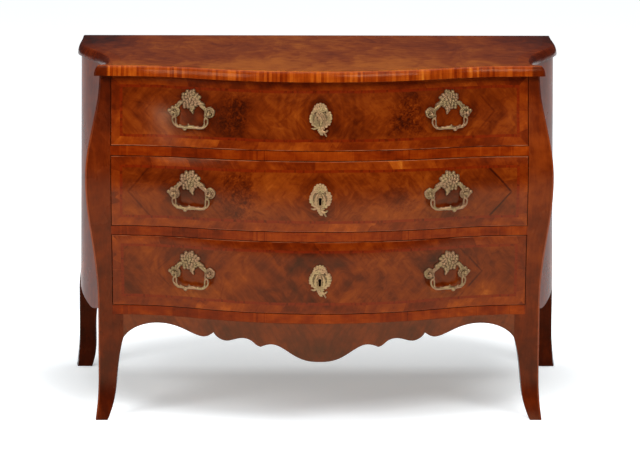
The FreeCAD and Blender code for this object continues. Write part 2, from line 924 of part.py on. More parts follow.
# ---------------------------------------------------------------------------
# Seats on the curved front, for the brass mounts
# ---------------------------------------------------------------------------
class Seat:
    """A point on the front with level axes: across to the right, out from the wood and up."""

    def __init__(self, x, z, tilted=False):
        step = 0.5
        slope_x = (front_y(x + step, z) - front_y(x - step, z)) / (2 * step)
        slope_z = (front_y(x, z + step) - front_y(x, z - step)) / (2 * step)
        self.origin = Vector(x, front_y(x, z), z)
        self.across = Vector(1, slope_x, 0).normalize()
        self.out = Vector(slope_x, -1, slope_z if tilted else 0).normalize()
        self.up = self.out.cross(self.across)
        self.rotation = Rotation(self.across, self.up, self.out, "ZXY")

    def at(self, across, up, out):
        return self.origin + self.across * across + self.up * up + self.out * out

    def put(self, obj, across=0, up=0, out=0, turn=None):
        rotation = self.rotation if turn is None else self.rotation * turn
        obj.Placement = Placement(self.at(across, up, out), rotation)
        return obj

    def wire(self, points, out):
        """A smooth closed outline through points across and up."""
        curve = Part.BSplineCurve()
        curve.interpolate([self.at(across, up, out) for across, up in points], PeriodicFlag=True)
        return Part.Wire(curve.toShape())


SIDEWAYS = Rotation(Vector(0, 1, 0), 90)


def cylinder(name, radius, height):
    return bind(doc.addObject("Part::Cylinder", name), Radius=radius, Height=height)


def sphere(name, radius):
    return bind(doc.addObject("Part::Sphere", name), Radius=radius)


def boss(name, seat, across, up, half_across, half_up, half_out):
    """A flattened dome, centred on the wood's surface."""
    made = doc.addObject("Part::Ellipsoid", name)
    made.Radius1 = half_out
    made.Radius2 = half_across
    made.Radius3 = half_up
    return seat.put(made, across, up)


def raised_form(name, seat):
    """The carved form moved out by a plate's thickness."""
    made = group(name, form)
    made.Placement = Placement(seat.out * size("plate_thickness"), Rotation())
    return made


def plate(name, seat, points, raised, bosses):
    """A thin cast plate that follows the curved front."""
    reach = 4 * size("plate_thickness")
    prism = extrusion(name + "_prism", seat.wire(points, reach), -seat.out, "8 * plate_thickness")
    cast = fuse(name + "_cast", common(name + "_sheet", prism, raised), *bosses)
    return cut(name + "_seated", cast, form)


# ---------------------------------------------------------------------------
# Bail handles: a right-hand one for each drawer, and its mirror image
# ---------------------------------------------------------------------------
HANDLE_OUTLINE = [
    (6, 54), (24, 49), (33, 37), (29, 27), (40, 24), (52, 25), (62, 20), (66, 11), (60, 1), (48, -6),
    (36, -4), (29, 5), (24, 13), (12, 13), (4, 4), (-2, -3), (-6, 6), (-14, 15), (-23, 12), (-30, 0),
    (-42, -7), (-56, -3), (-61, 8), (-56, 18), (-43, 21), (-30, 23), (-22, 30), (-21, 41), (-13, 50),
]
# The domes of a handle plate: across, up, half width, half height and how far out.
HANDLE_DOMES = {
    "flower": (6, 35, 23, 16, 9),
    "outer_rosette": (48, 10, 14, 10, 7),
    "inner_rosette": (-46, 8, 12, 9, 6.5),
}


def handle_seat(number, tilted=False):
    """Where a drawer's right handle sits."""
    return Seat(size("handle_half"), WORKED["drawer_%d_pivot" % number], tilted)


def post_sides():
    """Which post, and how far across from the middle of its handle."""
    return (("inner", -size("pivot_half")), ("outer", size("pivot_half")))


def wood_depth(number, seat, across):
    """How far a handle's post runs through the drawer front, from the seat's plane to the inside."""
    centre, corner = drawer_reaches(number)
    setback = size("front_thickness")
    low = 0
    high = size("carcass_depth")
    for _ in range(HALVINGS):
        middle = (low + high) / 2
        point = seat.at(across, 0, -middle)
        inside = point.y > serpentine(point.x, centre - setback, corner - setback)
        low, high = (low, middle) if inside else (middle, high)
    return low


def post_holes(number):
    """Drilled holes for a drawer's four handle posts."""
    seat = handle_seat(number)
    holes = []
    for where, across in post_sides():
        name = "drawer_%d_%s_post_hole" % (number, where)
        hole = cylinder(name, "post_shank_radius + post_clearance", "8 * front_thickness")
        seat.put(hole, across, 0, -4 * size("front_thickness"))
        holes += [hole, mirror(name + "_left", hole)]
    return holes


def handle_posts(number):
    """The posts that carry the bails, each with a square nut inside the drawer."""
    seat = handle_seat(number)
    pieces = []
    for where, across in post_sides():
        name = "drawer_%d_%s_post" % (number, where)
        edges = (across - size("nut_across") / 2, across + size("nut_across") / 2)
        inside = max(wood_depth(number, seat, edge) for edge in edges)
        nut_out = -inside - size("nut_thickness") - size("running_gap")
        shank = cylinder(name + "_shank", "post_shank_radius",
                         "pivot_stand_off + %s + 2 * nut_thickness" % inside)
        seat.put(shank, across, 0, -inside - 2 * size("nut_thickness"))
        head = seat.put(sphere(name + "_head", "post_head_radius"), across, 0, size("pivot_stand_off"))
        bore = cylinder(name + "_bore", "bail_radius + pivot_clearance", "4 * post_head_radius")
        seat.put(bore, across - 2 * size("post_head_radius"), 0, size("pivot_stand_off"), SIDEWAYS)
        post = cut(name, fuse(name + "_turned", shank, head), bore)
        blank = doc.addObject("Part::Box", name + "_nut_blank")
        bind(blank, Length="nut_across", Width="nut_across", Height="nut_thickness")
        seat.put(blank, across - size("nut_across") / 2, -size("nut_across") / 2, nut_out)
        nut = cut(name + "_nut", blank, shank)
        pieces += [post, mirror(name + "_left", post), nut, mirror(name + "_nut_left", nut)]
    return sub_part("drawer_%d_handle_posts" % number, group("drawer_%d_post_set" % number, *pieces))


def handle_plate(number, raised):
    """A cast plate with a flower in its middle and a rosette over each post."""
    seat = handle_seat(number, tilted=True)
    name = "drawer_%d_handle_plate" % number
    bosses = [boss(name + "_" + where, seat, *dome) for where, dome in HANDLE_DOMES.items()]
    cast = plate(name, seat, HANDLE_OUTLINE, raised, bosses)
    holes = [doc.getObject("drawer_%d_%s_post_hole" % (number, where)) for where, _ in post_sides()]
    drilled = cut(name + "_drilled", cast, group(name + "_holes", *holes))
    return both_sides("drawer_%d_%%s_handle_plate" % number, drilled)


def bail(number):
    """A bail between its two posts: pins, hips, arms, rounded corners and a bar with a leaf and a knob."""
    seat = handle_seat(number)
    name = "drawer_%d_bail" % number
    hip = size("bail_hip_radius")
    corner = size("bail_corner_radius")
    drop = size("bail_drop")
    pin = size("pivot_half") + size("pin_reach")
    shoulder = size("pivot_half") - size("post_head_radius")
    arm = shoulder - hip
    out = size("pivot_stand_off")

    def point(across, up):
        return seat.at(across, up, out)

    def arc(start, middle, end):
        return Part.Arc(point(*start), point(*middle), point(*end)).toShape()

    bend = math.sqrt(0.5)
    edges = []
    for side in (1, -1):
        half = [
            line(point(side * pin, 0), point(side * shoulder, 0)),
            arc((side * shoulder, 0), (side * (shoulder - hip * bend), -hip * (1 - bend)),
                (side * arm, -hip)),
            line(point(side * arm, -hip), point(side * arm, corner - drop)),
            arc((side * arm, corner - drop),
                (side * (arm - corner * (1 - bend)), -drop + corner * (1 - bend)),
                (side * (arm - corner), -drop)),
        ]
        edges += half if side == 1 else half[::-1]
        if side == 1:
            edges.append(line(point(arm - corner, -drop), point(corner - arm, -drop)))
    path = feature(name + "_path", Part.Wire(edges))
    section = doc.addObject("Part::Circle", name + "_section")
    bind(section, Radius="bail_radius")
    seat.put(section, pin, 0, out, SIDEWAYS)
    rod = doc.addObject("Part::Sweep", name + "_rod")
    rod.Sections = [section]
    rod.Spine = path
    rod.Solid = True
    rod.Frenet = False
    knob = sphere(name + "_knob", "bail_knob_radius")
    seat.put(knob, size("bail_knob_half"), -drop, out, SIDEWAYS)
    leaf = doc.addObject("Part::Ellipsoid", name + "_leaf")
    bind(leaf, Radius1="bail_leaf_half", Radius2="bail_leaf_radius", Radius3="bail_leaf_radius")
    seat.put(leaf, 0, -drop, out, SIDEWAYS)
    return both_sides("drawer_%d_%%s_bail" % number, fuse(name + "_cast", rod, knob, leaf))


# ---------------------------------------------------------------------------
# Locks, keyholes and escutcheons
# ---------------------------------------------------------------------------
ESCUTCHEON_OUTLINE = [
    (0, 40.5), (10, 38), (18, 31), (26, 19), (27.5, 5), (22, -11), (12, -23), (9, -31), (17, -35),
    (14, -42), (4, -41), (-3, -33), (-9, -24), (-20, -12), (-27, 3), (-26, 18), (-18, 31), (-9, 38),
]
ESCUTCHEON_DOMES = {
    "crest": (0, 33, 9, 6, 6),
    "tail": (9, -33, 7, 5, 5.5),
}


def lock_recess(number):
    """The shallow bed for the lock in the inside of a drawer front."""
    name = "drawer_%d" % number
    inner = "%s_inner_centre" % name
    return box(name + "_lock_recess", ("-lock_width / 2", "lock_width / 2"),
               (inner + " - lock_let_in", inner + " + lock_depth"),
               ("%s_key - lock_below_key" % name, "%s_ceiling" % name))


def keyhole(number):
    """A round hole over a narrow slot, right through to the lock."""
    name = "drawer_%d" % number
    key = "%s_key" % name
    start = "corner_plane - centre_reach - belly_centre - 10 * plate_thickness"
    end = "%s_inner_centre - lock_let_in + lock_wall" % name
    bore = bind(doc.addObject("Part::Cylinder", name + "_key_bore"), Radius="key_bore_radius",
                Height="%s - (%s)" % (end, start), Placement__Base__y=start, Placement__Base__z=key)
    bore.Placement.Rotation = Rotation(Vector(1, 0, 0), -90)
    slot = box(name + "_key_slot", ("-key_slot_width / 2", "key_slot_width / 2"), (start, end),
               ("%s - key_slot_length" % key, key))
    return group(name + "_keyhole", bore, slot)


def lock(number):
    """An iron lock case, and the bolt that rises out of it."""
    name = "drawer_%d" % number
    back = "(%s_inner_centre - lock_let_in)" % name
    low = "(%s_key - lock_below_key)" % name
    top_edge = "%s_lock_top" % name
    middle = "(%s + lock_depth / 2)" % back
    outer = box(name + "_lock_shell", ("-lock_width / 2", "lock_width / 2"), (back, back + " + lock_depth"),
                (low, top_edge))
    cavity = box(name + "_lock_cavity", ("-lock_width / 2 + lock_wall", "lock_width / 2 - lock_wall"),
                 (back + " + lock_wall", back + " + lock_depth - lock_wall"),
                 (low + " + lock_wall", top_edge + " - lock_wall"))
    half_x = "(bolt_width / 2 + bolt_clearance)"
    half_y = "(bolt_thickness / 2 + bolt_clearance)"
    slot = box(name + "_bolt_slot", ("-" + half_x, half_x),
               (middle + " - " + half_y, middle + " + " + half_y),
               (top_edge + " - 2 * lock_wall", top_edge + " + lock_wall"))
    voids = group(name + "_lock_voids", cavity, slot, doc.getObject(name + "_keyhole"))
    sub_part(name + "_lock_case", cut(name + "_lock_hollow", outer, voids))
    bolt = box(name + "_bolt", ("-bolt_width / 2", "bolt_width / 2"),
               (middle + " - bolt_thickness / 2", middle + " + bolt_thickness / 2"),
               (top_edge + " - bolt_length", top_edge))
    sub_part(name + "_lock_bolt", bolt)


def escutcheon(number, raised):
    """A cast keyhole plate with a curled tail; the upper drawer's carries a rivet for its cover."""
    name = "drawer_%d" % number
    seat = Seat(0, WORKED[name + "_key"], tilted=True)
    bosses = [boss("%s_escutcheon_%s" % (name, where), seat, *dome)
              for where, dome in ESCUTCHEON_DOMES.items()]
    cast = plate(name + "_escutcheon", seat, ESCUTCHEON_OUTLINE, raised, bosses)
    pierced = cut(name + "_escutcheon_pierced", cast, doc.getObject(name + "_keyhole"))
    if number == 1:
        pierced = fuse(name + "_escutcheon_riveted", pierced, *rivet(name, seat))
        keyhole_cover(seat)
    return sub_part(name + "_escutcheon", pierced)


def rivet(name, seat):
    """The shank and the head that the keyhole cover hangs from."""
    shank = cylinder(name + "_rivet_shank", "rivet_radius",
                     "plate_thickness / 2 + cover_thickness + 2 * cover_gap")
    seat.put(shank, 0, size("rivet_height"), size("plate_thickness") / 2)
    head = cylinder(name + "_rivet_head", "rivet_head_radius", "rivet_head_thickness")
    seat.put(head, 0, size("rivet_height"),
             size("plate_thickness") + size("cover_thickness") + 2 * size("cover_gap"))
    return shank, head


# The cover's neck: how far across, and how far above the rivet's centre.
COVER_TOP = 5
COVER_NECK = [(4, 3), (4.5, -3), (3.5, -9)]


def keyhole_cover(seat):
    """A pear-shaped drop that hangs from the rivet over the keyhole."""
    half = size("cover_half_width")
    hang = size("rivet_height")
    low = hang - size("cover_length") + half
    diagonal = half * math.sqrt(0.5)
    right = [(across, hang + up) for across, up in COVER_NECK]
    right += [(half, low), (diagonal, low - diagonal)]
    left = [(-across, up) for across, up in reversed(right)]
    points = [(0, hang + COVER_TOP), *right, (0, low - half), *left]
    out = size("plate_thickness") + size("cover_gap")
    drop = extrusion("cover_drop", seat.wire(points, out), seat.out, "cover_thickness")
    bore = cylinder("cover_bore", "rivet_radius + pivot_clearance", "4 * cover_thickness")
    seat.put(bore, 0, hang, out - size("cover_thickness"))
    return sub_part("keyhole_cover", cut("cover_bored", drop, bore))


raised_centre = raised_form("raised_centre", Seat(0, size("belly_height")))
raised_right = raised_form("raised_right", Seat(size("handle_half"), size("belly_height")))

for number in (1, 2, 3):
    drawer_box(number)
    lock(number)
    escutcheon(number, raised_centre)
    handle_plate(number, raised_right)
    handle_posts(number)
    bail(number)


# ---------------------------------------------------------------------------
# Check and export
# ---------------------------------------------------------------------------
def export():
    doc.recompute()
    failed = [obj.Name for obj in doc.Objects if "Invalid" in obj.State or "Error" in obj.State]
    if failed:
        raise RuntimeError("failed objects: " + ", ".join(failed))
    for node, obj in sub_parts.items():
        shape = obj.Shape
        if shape.isNull() or not shape.isValid() or not shape.Solids:
            raise RuntimeError("bad shape: " + node)
    os.makedirs("parts", exist_ok=True)
    for node, obj in sub_parts.items():
        obj.Shape.exportStep("parts/%s.step" % node)
    print("%d sub-parts written" % len(sub_parts))


export()
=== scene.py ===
"""The looks of a bombe chest: veneers, cast brass, floor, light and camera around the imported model."""
import json
import math

import bpy
import numpy as np
from mathutils import Matrix, Vector
from mathutils.bvhtree import BVHTree

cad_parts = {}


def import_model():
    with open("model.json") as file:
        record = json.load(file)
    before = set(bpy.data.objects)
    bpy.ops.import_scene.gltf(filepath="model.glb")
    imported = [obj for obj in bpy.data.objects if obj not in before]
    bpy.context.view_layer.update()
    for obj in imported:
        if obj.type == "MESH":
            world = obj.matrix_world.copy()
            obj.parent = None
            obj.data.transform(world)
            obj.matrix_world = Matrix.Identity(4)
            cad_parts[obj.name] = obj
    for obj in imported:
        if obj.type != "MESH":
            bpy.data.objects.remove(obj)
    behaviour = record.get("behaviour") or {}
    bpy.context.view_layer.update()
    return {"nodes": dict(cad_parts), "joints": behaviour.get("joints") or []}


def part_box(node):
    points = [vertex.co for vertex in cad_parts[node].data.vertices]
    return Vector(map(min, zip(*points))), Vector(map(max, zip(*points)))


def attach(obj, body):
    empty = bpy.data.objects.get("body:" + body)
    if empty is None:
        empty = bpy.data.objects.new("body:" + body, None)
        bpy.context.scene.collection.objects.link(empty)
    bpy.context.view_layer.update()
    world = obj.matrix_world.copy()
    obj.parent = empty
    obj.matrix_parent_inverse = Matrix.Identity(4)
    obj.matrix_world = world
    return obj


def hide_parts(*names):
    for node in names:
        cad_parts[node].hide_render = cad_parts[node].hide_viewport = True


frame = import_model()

NODES = frame["nodes"]
DRAWERS = (1, 2, 3)
MM = 0.001


def bail_joint(number):
    """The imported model's record of a drawer's right bail joint."""
    return next(j for j in frame["joints"] if j["name"] == "right_bail_%d_swing" % number)


# ---- Shader arithmetic ----
def feed(tree, socket, value):
    """Links a field to a node's input, or sets the input to a number or to a colour."""
    if isinstance(value, Field):
        tree.links.new(value.socket, socket)
    elif isinstance(value, tuple):
        socket.default_value = (*value, 1)
    else:
        socket.default_value = value


def added(tree, kind, output, inputs, **settings):
    """The output of a new node, with its settings made and its inputs fed."""
    node = tree.nodes.new("ShaderNode" + kind)
    for name, value in settings.items():
        setattr(node, name, value)
    for name, value in inputs.items():
        feed(tree, node.inputs[name], value)
    return Field(tree, node.outputs[output])


def by(operation):
    """A method that puts a maths node after a field."""
    return lambda field, *others: field.maths(operation, *others)


class Field:
    """A number or a colour that varies over a surface; each sum or product adds a node to its tree."""

    def __init__(self, tree, socket):
        self.tree = tree
        self.socket = socket

    def maths(self, operation, *others):
        return added(self.tree, "Math", 0, dict(enumerate((self, *others))), operation=operation)

    __add__ = __radd__ = by("ADD")
    __sub__ = by("SUBTRACT")
    __mul__ = __rmul__ = by("MULTIPLY")
    __truediv__ = by("DIVIDE")
    __abs__ = by("ABSOLUTE")
    least = by("MINIMUM")
    most = by("MAXIMUM")
    power = by("POWER")
    floor = by("FLOOR")

    def __rsub__(self, other):
        return self.maths("MULTIPLY_ADD", -1.0, other)

    def step(self, low, high):
        """0 below low, 1 above high and smooth between; falls where high is the smaller."""
        return added(self.tree, "MapRange", "Result", {"Value": self, "From Min": low, "From Max": high},
                     interpolation_type="SMOOTHSTEP")

    def band(self, middle, half):
        """1 at the middle, falling smoothly to 0 at half away on both sides."""
        return abs(self - middle).step(half, 0.0)

    def ramp(self, *stops):
        """Colours along the field: (place, colour) pairs."""
        node = self.tree.nodes.new("ShaderNodeValToRGB")
        elements = node.color_ramp.elements
        while len(elements) < len(stops):
            elements.new(0.5)
        for element, (place, colour) in zip(elements, stops):
            element.position = place
            element.color = (*colour, 1)
        feed(self.tree, node.inputs["Fac"], self)
        return Field(self.tree, node.outputs["Color"])

    def chance(self, seed):
        """A random number for each whole value of the field."""
        return added(self.tree, "TexWhiteNoise", "Value", {"W": self + seed}, noise_dimensions="1D")


class Finish:
    """A material in the making: its node tree, its shader and the place on the surface in metres."""

    def __init__(self, name):
        self.material = bpy.data.materials.new(name)
        self.material.use_nodes = True
        self.tree = self.material.node_tree
        self.shader = self.tree.nodes["Principled BSDF"]
        self.x, self.y, self.z = self.parts("Object")
        self.facing = self.parts("Normal")

    def parts(self, kind):
        """The parts along x, y and z of the surface's place or direction."""
        vector = added(self.tree, "TexCoord", kind, {})
        return [added(self.tree, "SeparateXYZ", axis, {0: vector}) for axis in "XYZ"]

    def noise(self, *place, detail=2.0, roughness=0.5, distortion=0.0):
        """Smooth noise from 0 to 1 over a place whose unit is one cell."""
        vector = added(self.tree, "CombineXYZ", 0, dict(enumerate(place)))
        return added(self.tree, "TexNoise", "Fac", {"Vector": vector, "Scale": 1.0, "Detail": detail,
                                                    "Roughness": roughness, "Distortion": distortion})

    def sway(self, *place, **kind):
        """Smooth noise from -0.5 to 0.5."""
        return self.noise(*place, **kind) - 0.5

    def speckle(self, cells, **kind):
        """Noise with so many cells a metre every way."""
        return self.noise(self.x * cells, self.y * cells, self.z * cells, **kind)

    def mix(self, share, low, high):
        """The colour low where the share is 0 and high where it is 1."""
        return added(self.tree, "Mix", "Result", {"Factor": share, "A": low, "B": high}, data_type="RGBA")

    def bumped(self, height, distance, **inputs):
        """Raises the surface by the height times the distance."""
        self.set(Normal=added(self.tree, "Bump", "Normal", dict(inputs, Height=height, Distance=distance)))

    def set(self, **values):
        """Sets the shader's own sockets: colour and roughness may be fields."""
        for name, value in values.items():
            feed(self.tree, self.shader.inputs[name.replace("_", " ")], value)


# ---- Wood ----
WALNUT = (
    (0.00, (0.030, 0.0030, 0.0003)),
    (0.28, (0.086, 0.0085, 0.0004)),
    (0.50, (0.150, 0.0185, 0.0010)),
    (0.72, (0.230, 0.0370, 0.0024)),
    (1.00, (0.380, 0.0900, 0.0080)),
)
BANDING = (
    (0.00, (0.070, 0.0050, 0.0004)),
    (0.30, (0.170, 0.0160, 0.0008)),
    (0.52, (0.260, 0.0340, 0.0018)),
    (0.76, (0.420, 0.0800, 0.0050)),
    (1.00, (0.640, 0.2200, 0.0220)),
)
LEG_WOOD = (
    (0.00, (0.012, 0.0016, 0.0005)),
    (0.35, (0.058, 0.0055, 0.0007)),
    (0.62, (0.120, 0.0130, 0.0010)),
    (1.00, (0.260, 0.0400, 0.0036)),
)
PINE = (
    (0.00, (0.150, 0.075, 0.028)),
    (0.45, (0.300, 0.165, 0.070)),
    (1.00, (0.460, 0.290, 0.140)),
)
STRINGING = (0.165, 0.0110, 0.0008)
STRINGING_DARK = (0.070, 0.0050, 0.0004)
# The colour of the painted highlights on the drawers' arrises
ARRIS_HIGHLIGHT_COLOUR = (0.43, 0.135, 0.055)
# The clear polish: its tint, and how strongly and how sharply each kind of piece mirrors
POLISH_TINT = (1.0, 0.76, 0.45)
POLISH_IOR = 1.38
POLISH_ROUGHNESS = 0.13
DRAWER_IOR = {1: 1.38, 2: 1.32, 3: 1.30}
RAIL_IOR = 1.22
EDGE_IOR = 1.20
PANEL_IOR = 1.14
PANEL_ROUGHNESS = 0.22
LEG_IOR = 1.28
LEG_ROUGHNESS = 0.20
REAR_LEG_IOR = 1.15
ARRIS_RADIUS = 1.2 * MM
# How far down from its top each drawer's front leans back a little, and how sharply, to mirror less floor
ROLLS = {1: (24 * MM, 2.4), 2: (120 * MM, 0.6), 3: (50 * MM, 2.2)}


def grain(finish, across, along, depth, seed, figure=1.0):
    """How light the wood is, from 0 to 1: clouds, soft bands, streaks and fibres."""
    place = finish.sway(across * 7, along * 5, depth * 7 + seed, detail=2)
    bent = across + place * 0.05
    clouds = finish.sway(across * 9, along * 9, depth * 9 + seed + 2, detail=3, roughness=0.6)
    bands = finish.sway(bent * 34, along * 4.0, depth * 9 + seed, detail=2)
    streaks = finish.sway(bent * 150, along * 16, depth * 40 + seed, detail=2, roughness=0.6)
    fibres = finish.sway(across * 800, along * 60, depth * 300 + seed, detail=1)
    mottle = finish.sway(across * 40, along * 32, depth * 26 + seed + 5, detail=3, roughness=0.65)
    return (0.5 + clouds * 0.85 + bands * (0.40 * figure) + streaks * (0.28 * figure) + fibres * 0.14
            + mottle * (0.55 * figure))


def polished(finish, colour, tone, roughness=POLISH_ROUGHNESS, roll=None, ior=POLISH_IOR):
    """French polish over wood: a clear smooth coat whose shine dulls a little with the grain."""
    wear = finish.speckle(9, detail=3)
    finish.set(Base_Color=colour, Roughness=roughness + wear * 0.10 + tone * 0.03, IOR=ior,
               Specular_Tint=POLISH_TINT)
    height = tone * (0.05 * MM)
    if roll is not None:
        height = height + roll
    rounded = added(finish.tree, "Bevel", "Normal", {"Radius": ARRIS_RADIUS}, samples=4)
    finish.bumped(height, 1.0, Normal=rounded)
    return finish.material


# How far out along the drawer the point of its dark chevron lies, and how strong the chevron is
CHEVRONS = {1: (0.411, 0.45), 2: (0.452, 1.0), 3: (0.385, 0.8)}
CHEVRON_LEAN = math.radians(42)
CHEVRON_WIDTH = 3.5 * MM
CHEVRON_END = (75 * MM, 55 * MM)
# The width of a drawer's banded border, and of the dark line inside it
BORDER = 20 * MM
LINE = 6.5 * MM
# From where to where the middle drawer's upper border is a bright piece of veneer
BRIGHT_PIECE = (-10 * MM, 190 * MM)
# The lengths of the pieces that the banding is made up of, on the drawers, the rails and the top's edge
BLOCK_LENGTH = 95 * MM
RAIL_STRIP = 60 * MM
EDGE_STRIP = 6 * MM
# The faint diamond in the middle of the lower drawer: its size and half the width of its line
DIAMOND = (75 * MM, 30 * MM)
# Burr knots: how far out they lie, half their width, and how far off the middle height they end and fade
KNOTS = {1: (200 * MM, 55 * MM, 74 * MM, 15 * MM), 2: (190 * MM, 70 * MM, 80 * MM, 30 * MM)}
# How strong the painted highlights on the upper and lower arrises of each drawer are, and how wide they are
ARRIS_HIGHLIGHTS = {1: (0.0, 0.75), 2: (0.60, 0.25), 3: (0.50, 0.15)}
ARRIS_WIDTH = 1.7 * MM
# The darker ovals round each handle and keyhole, painted shade and dirt together: sizes and the shift of the
# middle from the pivot
HANDLE_SHADE = (66 * MM, 52 * MM)
HANDLE_SHADE_SHIFT = (4 * MM, 10 * MM)
KEY_SHADE = (36 * MM, 54 * MM)
KEY_SHADE_DROP = 3 * MM


def oval(across, up, sizes):
    """How far out a place lies, 1 being on the oval."""
    return ((across / sizes[0]).power(2) + (up / sizes[1]).power(2)).power(0.5)


def drawer_figure(finish, number, u, v, seed):
    """How light a drawer's field is: cloudy burr with faint chevrons about the middle."""
    x, z = finish.x, finish.z
    wobble = finish.sway(x * 8, z * 8, seed, detail=2)
    cosine, sine = math.cos(CHEVRON_LEAN), math.sin(CHEVRON_LEAN)
    chevron = u * cosine + v * sine + wobble * 0.016
    along = v * cosine - u * sine
    clouds = finish.sway(x * 7, z * 11, seed + 3, detail=3, roughness=0.6)
    matched = finish.sway(u * 8, v * 10, seed + 7, detail=2)
    bands = finish.sway(chevron * 46, along * 5, seed, detail=2)
    streaks = finish.sway(chevron * 190, along * 22, seed + 1, detail=2, roughness=0.6)
    fibres = finish.sway(chevron * 800, along * 60, seed, detail=1)
    curl = finish.sway(x * 34 + wobble * 3, z * 34 - wobble * 4, seed + 5, detail=4,
                       roughness=0.65, distortion=0.9)
    tone = (0.5 + clouds * 0.95 + matched * 0.55 + bands * 0.40 + streaks * 0.24 + fibres * 0.12
            + curl * 0.75)
    reach, strength = CHEVRONS[number]
    broken = finish.noise(u * 30, v * 30, seed + 1, detail=1).step(0.30, 0.55)
    mark = ((chevron - wobble * 0.010).band(reach * cosine, CHEVRON_WIDTH) * broken
            * v.step(*CHEVRON_END))
    tone = tone - mark * (x.step(-0.1, 0.1) * 0.6 + 0.4) * (0.42 * strength)
    if number in KNOTS:
        place, half, end, fade = KNOTS[number]
        burr = finish.sway(x * 95, z * 95, seed + 9, detail=3, roughness=0.7, distortion=1.5)
    if number == 1:
        ring = (u * u + v * v * 0.45).power(0.5)
        arcs = finish.sway(ring * 120, z * 6, seed, detail=1)
        tone = tone + arcs * ring.step(0.14, 0.05) * 0.45
        knot = (u + wobble * 0.10).band(place, half) * v.step(end, fade)
        tone = tone - knot * (0.30 - burr * 1.7)
    elif number == 2:
        knot = u.band(place, half) * v.step(end, fade) * (x.step(0.02, -0.02) * 0.7 + 0.3)
        tone = tone - knot * (0.22 - burr * 1.4)
    else:
        worn = finish.noise(u * 20, v * 20, seed).step(0.25, 0.5)
        tone = tone - (u * 0.9 + v * 0.9).band(*DIAMOND) * worn * 0.30
    return tone


def drawer_veneer(number):
    """A matched, cloudy field in a dark red line, bordered by soft pieces of cross-grained banding."""
    low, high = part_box("drawer_%d_front" % number)
    finish = Finish("drawer_%d_veneer" % number)
    x, z = finish.x, finish.z
    middle = (low.z + high.z) / 2
    seed = 11.3 * number
    u = abs(x)
    v = abs(z - middle)
    tone = drawer_figure(finish, number, u, v, seed)
    pivot = bail_joint(number)["pos_m"]
    aside, above = HANDLE_SHADE_SHIFT
    handle_shade_oval = oval(u - (pivot[0] + aside), z - (pivot[2] + above), HANDLE_SHADE)
    key_shade_oval = oval(u, z - (pivot[2] - KEY_SHADE_DROP), KEY_SHADE)
    # Painted shade and dirt in ovals round the handle and the keyhole
    tone = tone - handle_shade_oval.step(1.25, 0.80) * 0.13 - key_shade_oval.step(1.25, 0.85) * 0.15
    field = tone.ramp(*WALNUT)

    side = high.x - u
    rim = (high.z - z).least(z - low.z)
    ripple = finish.sway(x * 14, z * 14, seed + 6, detail=1) * (3 * MM)
    distance = side.least(rim) + ripple
    on_side = (rim - side).step(-0.3 * MM, 0.3 * MM)
    run = on_side * z + (1 - on_side) * x
    over = on_side * x + (1 - on_side) * z
    upper = (z - middle).step(-MM, MM)
    slant = run + over * 0.55 * (upper * 2 - 1)
    block = (slant / BLOCK_LENGTH + finish.noise(run * 22, upper * 9, seed) * 1.1).floor()
    shade = (block + on_side * 31 + upper * 17).chance(seed) - 0.5
    cross = finish.sway(slant * 240, over * 26, seed + 8, detail=2, roughness=0.6)
    blotch = finish.sway(run * 30, over * 40, seed + 2, detail=3, roughness=0.6)
    band_tone = 0.40 + shade * 0.30 + cross * 0.22 + blotch * 0.85
    if number == 2:
        first, last = BRIGHT_PIECE
        bright = x.step(first - 4 * MM, first) * x.step(last + 4 * MM, last) * upper * (1 - on_side)
        band_tone = band_tone + bright * 0.22
    elif number == 3:
        band_tone = band_tone - upper * (1 - on_side) * 0.12
    banding = finish.mix(0.45, band_tone.ramp(*BANDING), band_tone.ramp(*WALNUT))
    dashes = finish.noise(run * 150, over * 60, seed + 4, detail=1)
    string = dashes.ramp((0.25, STRINGING_DARK), (0.50, STRINGING))
    string = finish.mix(0.18, string, field)
    colour = finish.mix(distance.step(BORDER - 0.8 * MM, BORDER + 0.8 * MM), banding, string)
    inner = BORDER + LINE
    colour = finish.mix(distance.step(inner - 1.0 * MM, inner + 1.0 * MM), colour, field)
    # Painted highlights along the drawer's upper and lower arrises, broken by noise, on the front faces only
    upper_highlight, lower_highlight = ARRIS_HIGHLIGHTS[number]
    arris_highlight = ((high.z - z).step(ARRIS_WIDTH, ARRIS_WIDTH * 0.6) * upper_highlight
             + (z - low.z).step(ARRIS_WIDTH, ARRIS_WIDTH * 0.6) * lower_highlight)
    highlight_breaks = finish.noise(x * 13, seed, 5.0, detail=3, roughness=0.6).step(0.40, 0.58)
    colour = finish.mix(arris_highlight * highlight_breaks * finish.facing[1].step(-0.3, -0.6), colour, ARRIS_HIGHLIGHT_COLOUR)
    inside = finish.facing[1].step(0.3, 0.5)
    bare = grain(finish, z, x, finish.y, seed, 0.5).ramp(*PINE)
    colour = finish.mix(inside, colour, bare)
    depth, bend = ROLLS[number]
    over_top = (z - (high.z - depth)).most(0.0)
    roll = over_top * over_top * (-bend)
    return polished(finish, colour, tone, roll=roll, ior=DRAWER_IOR[number])


def cross_banding(finish, base, strip, seed, contrast):
    """Strips of veneer laid side by side with their grain across the edge."""
    drift = finish.noise(finish.x * 60, seed, 0.0, detail=1)
    block = (finish.x / strip + drift * 1.5).floor()
    shade = block.chance(seed) - 0.5
    wide = (finish.x / (strip * 5) + drift).floor().chance(seed + 4) - 0.5
    cross = finish.sway(finish.x * 500, finish.z * 30, finish.y * 30 + seed, detail=2, roughness=0.6)
    blotch = finish.sway(finish.x * 30, finish.y * 30, finish.z * 30 + seed, detail=3)
    return base + shade * contrast + wide * 0.22 + cross * contrast + blotch * 0.55


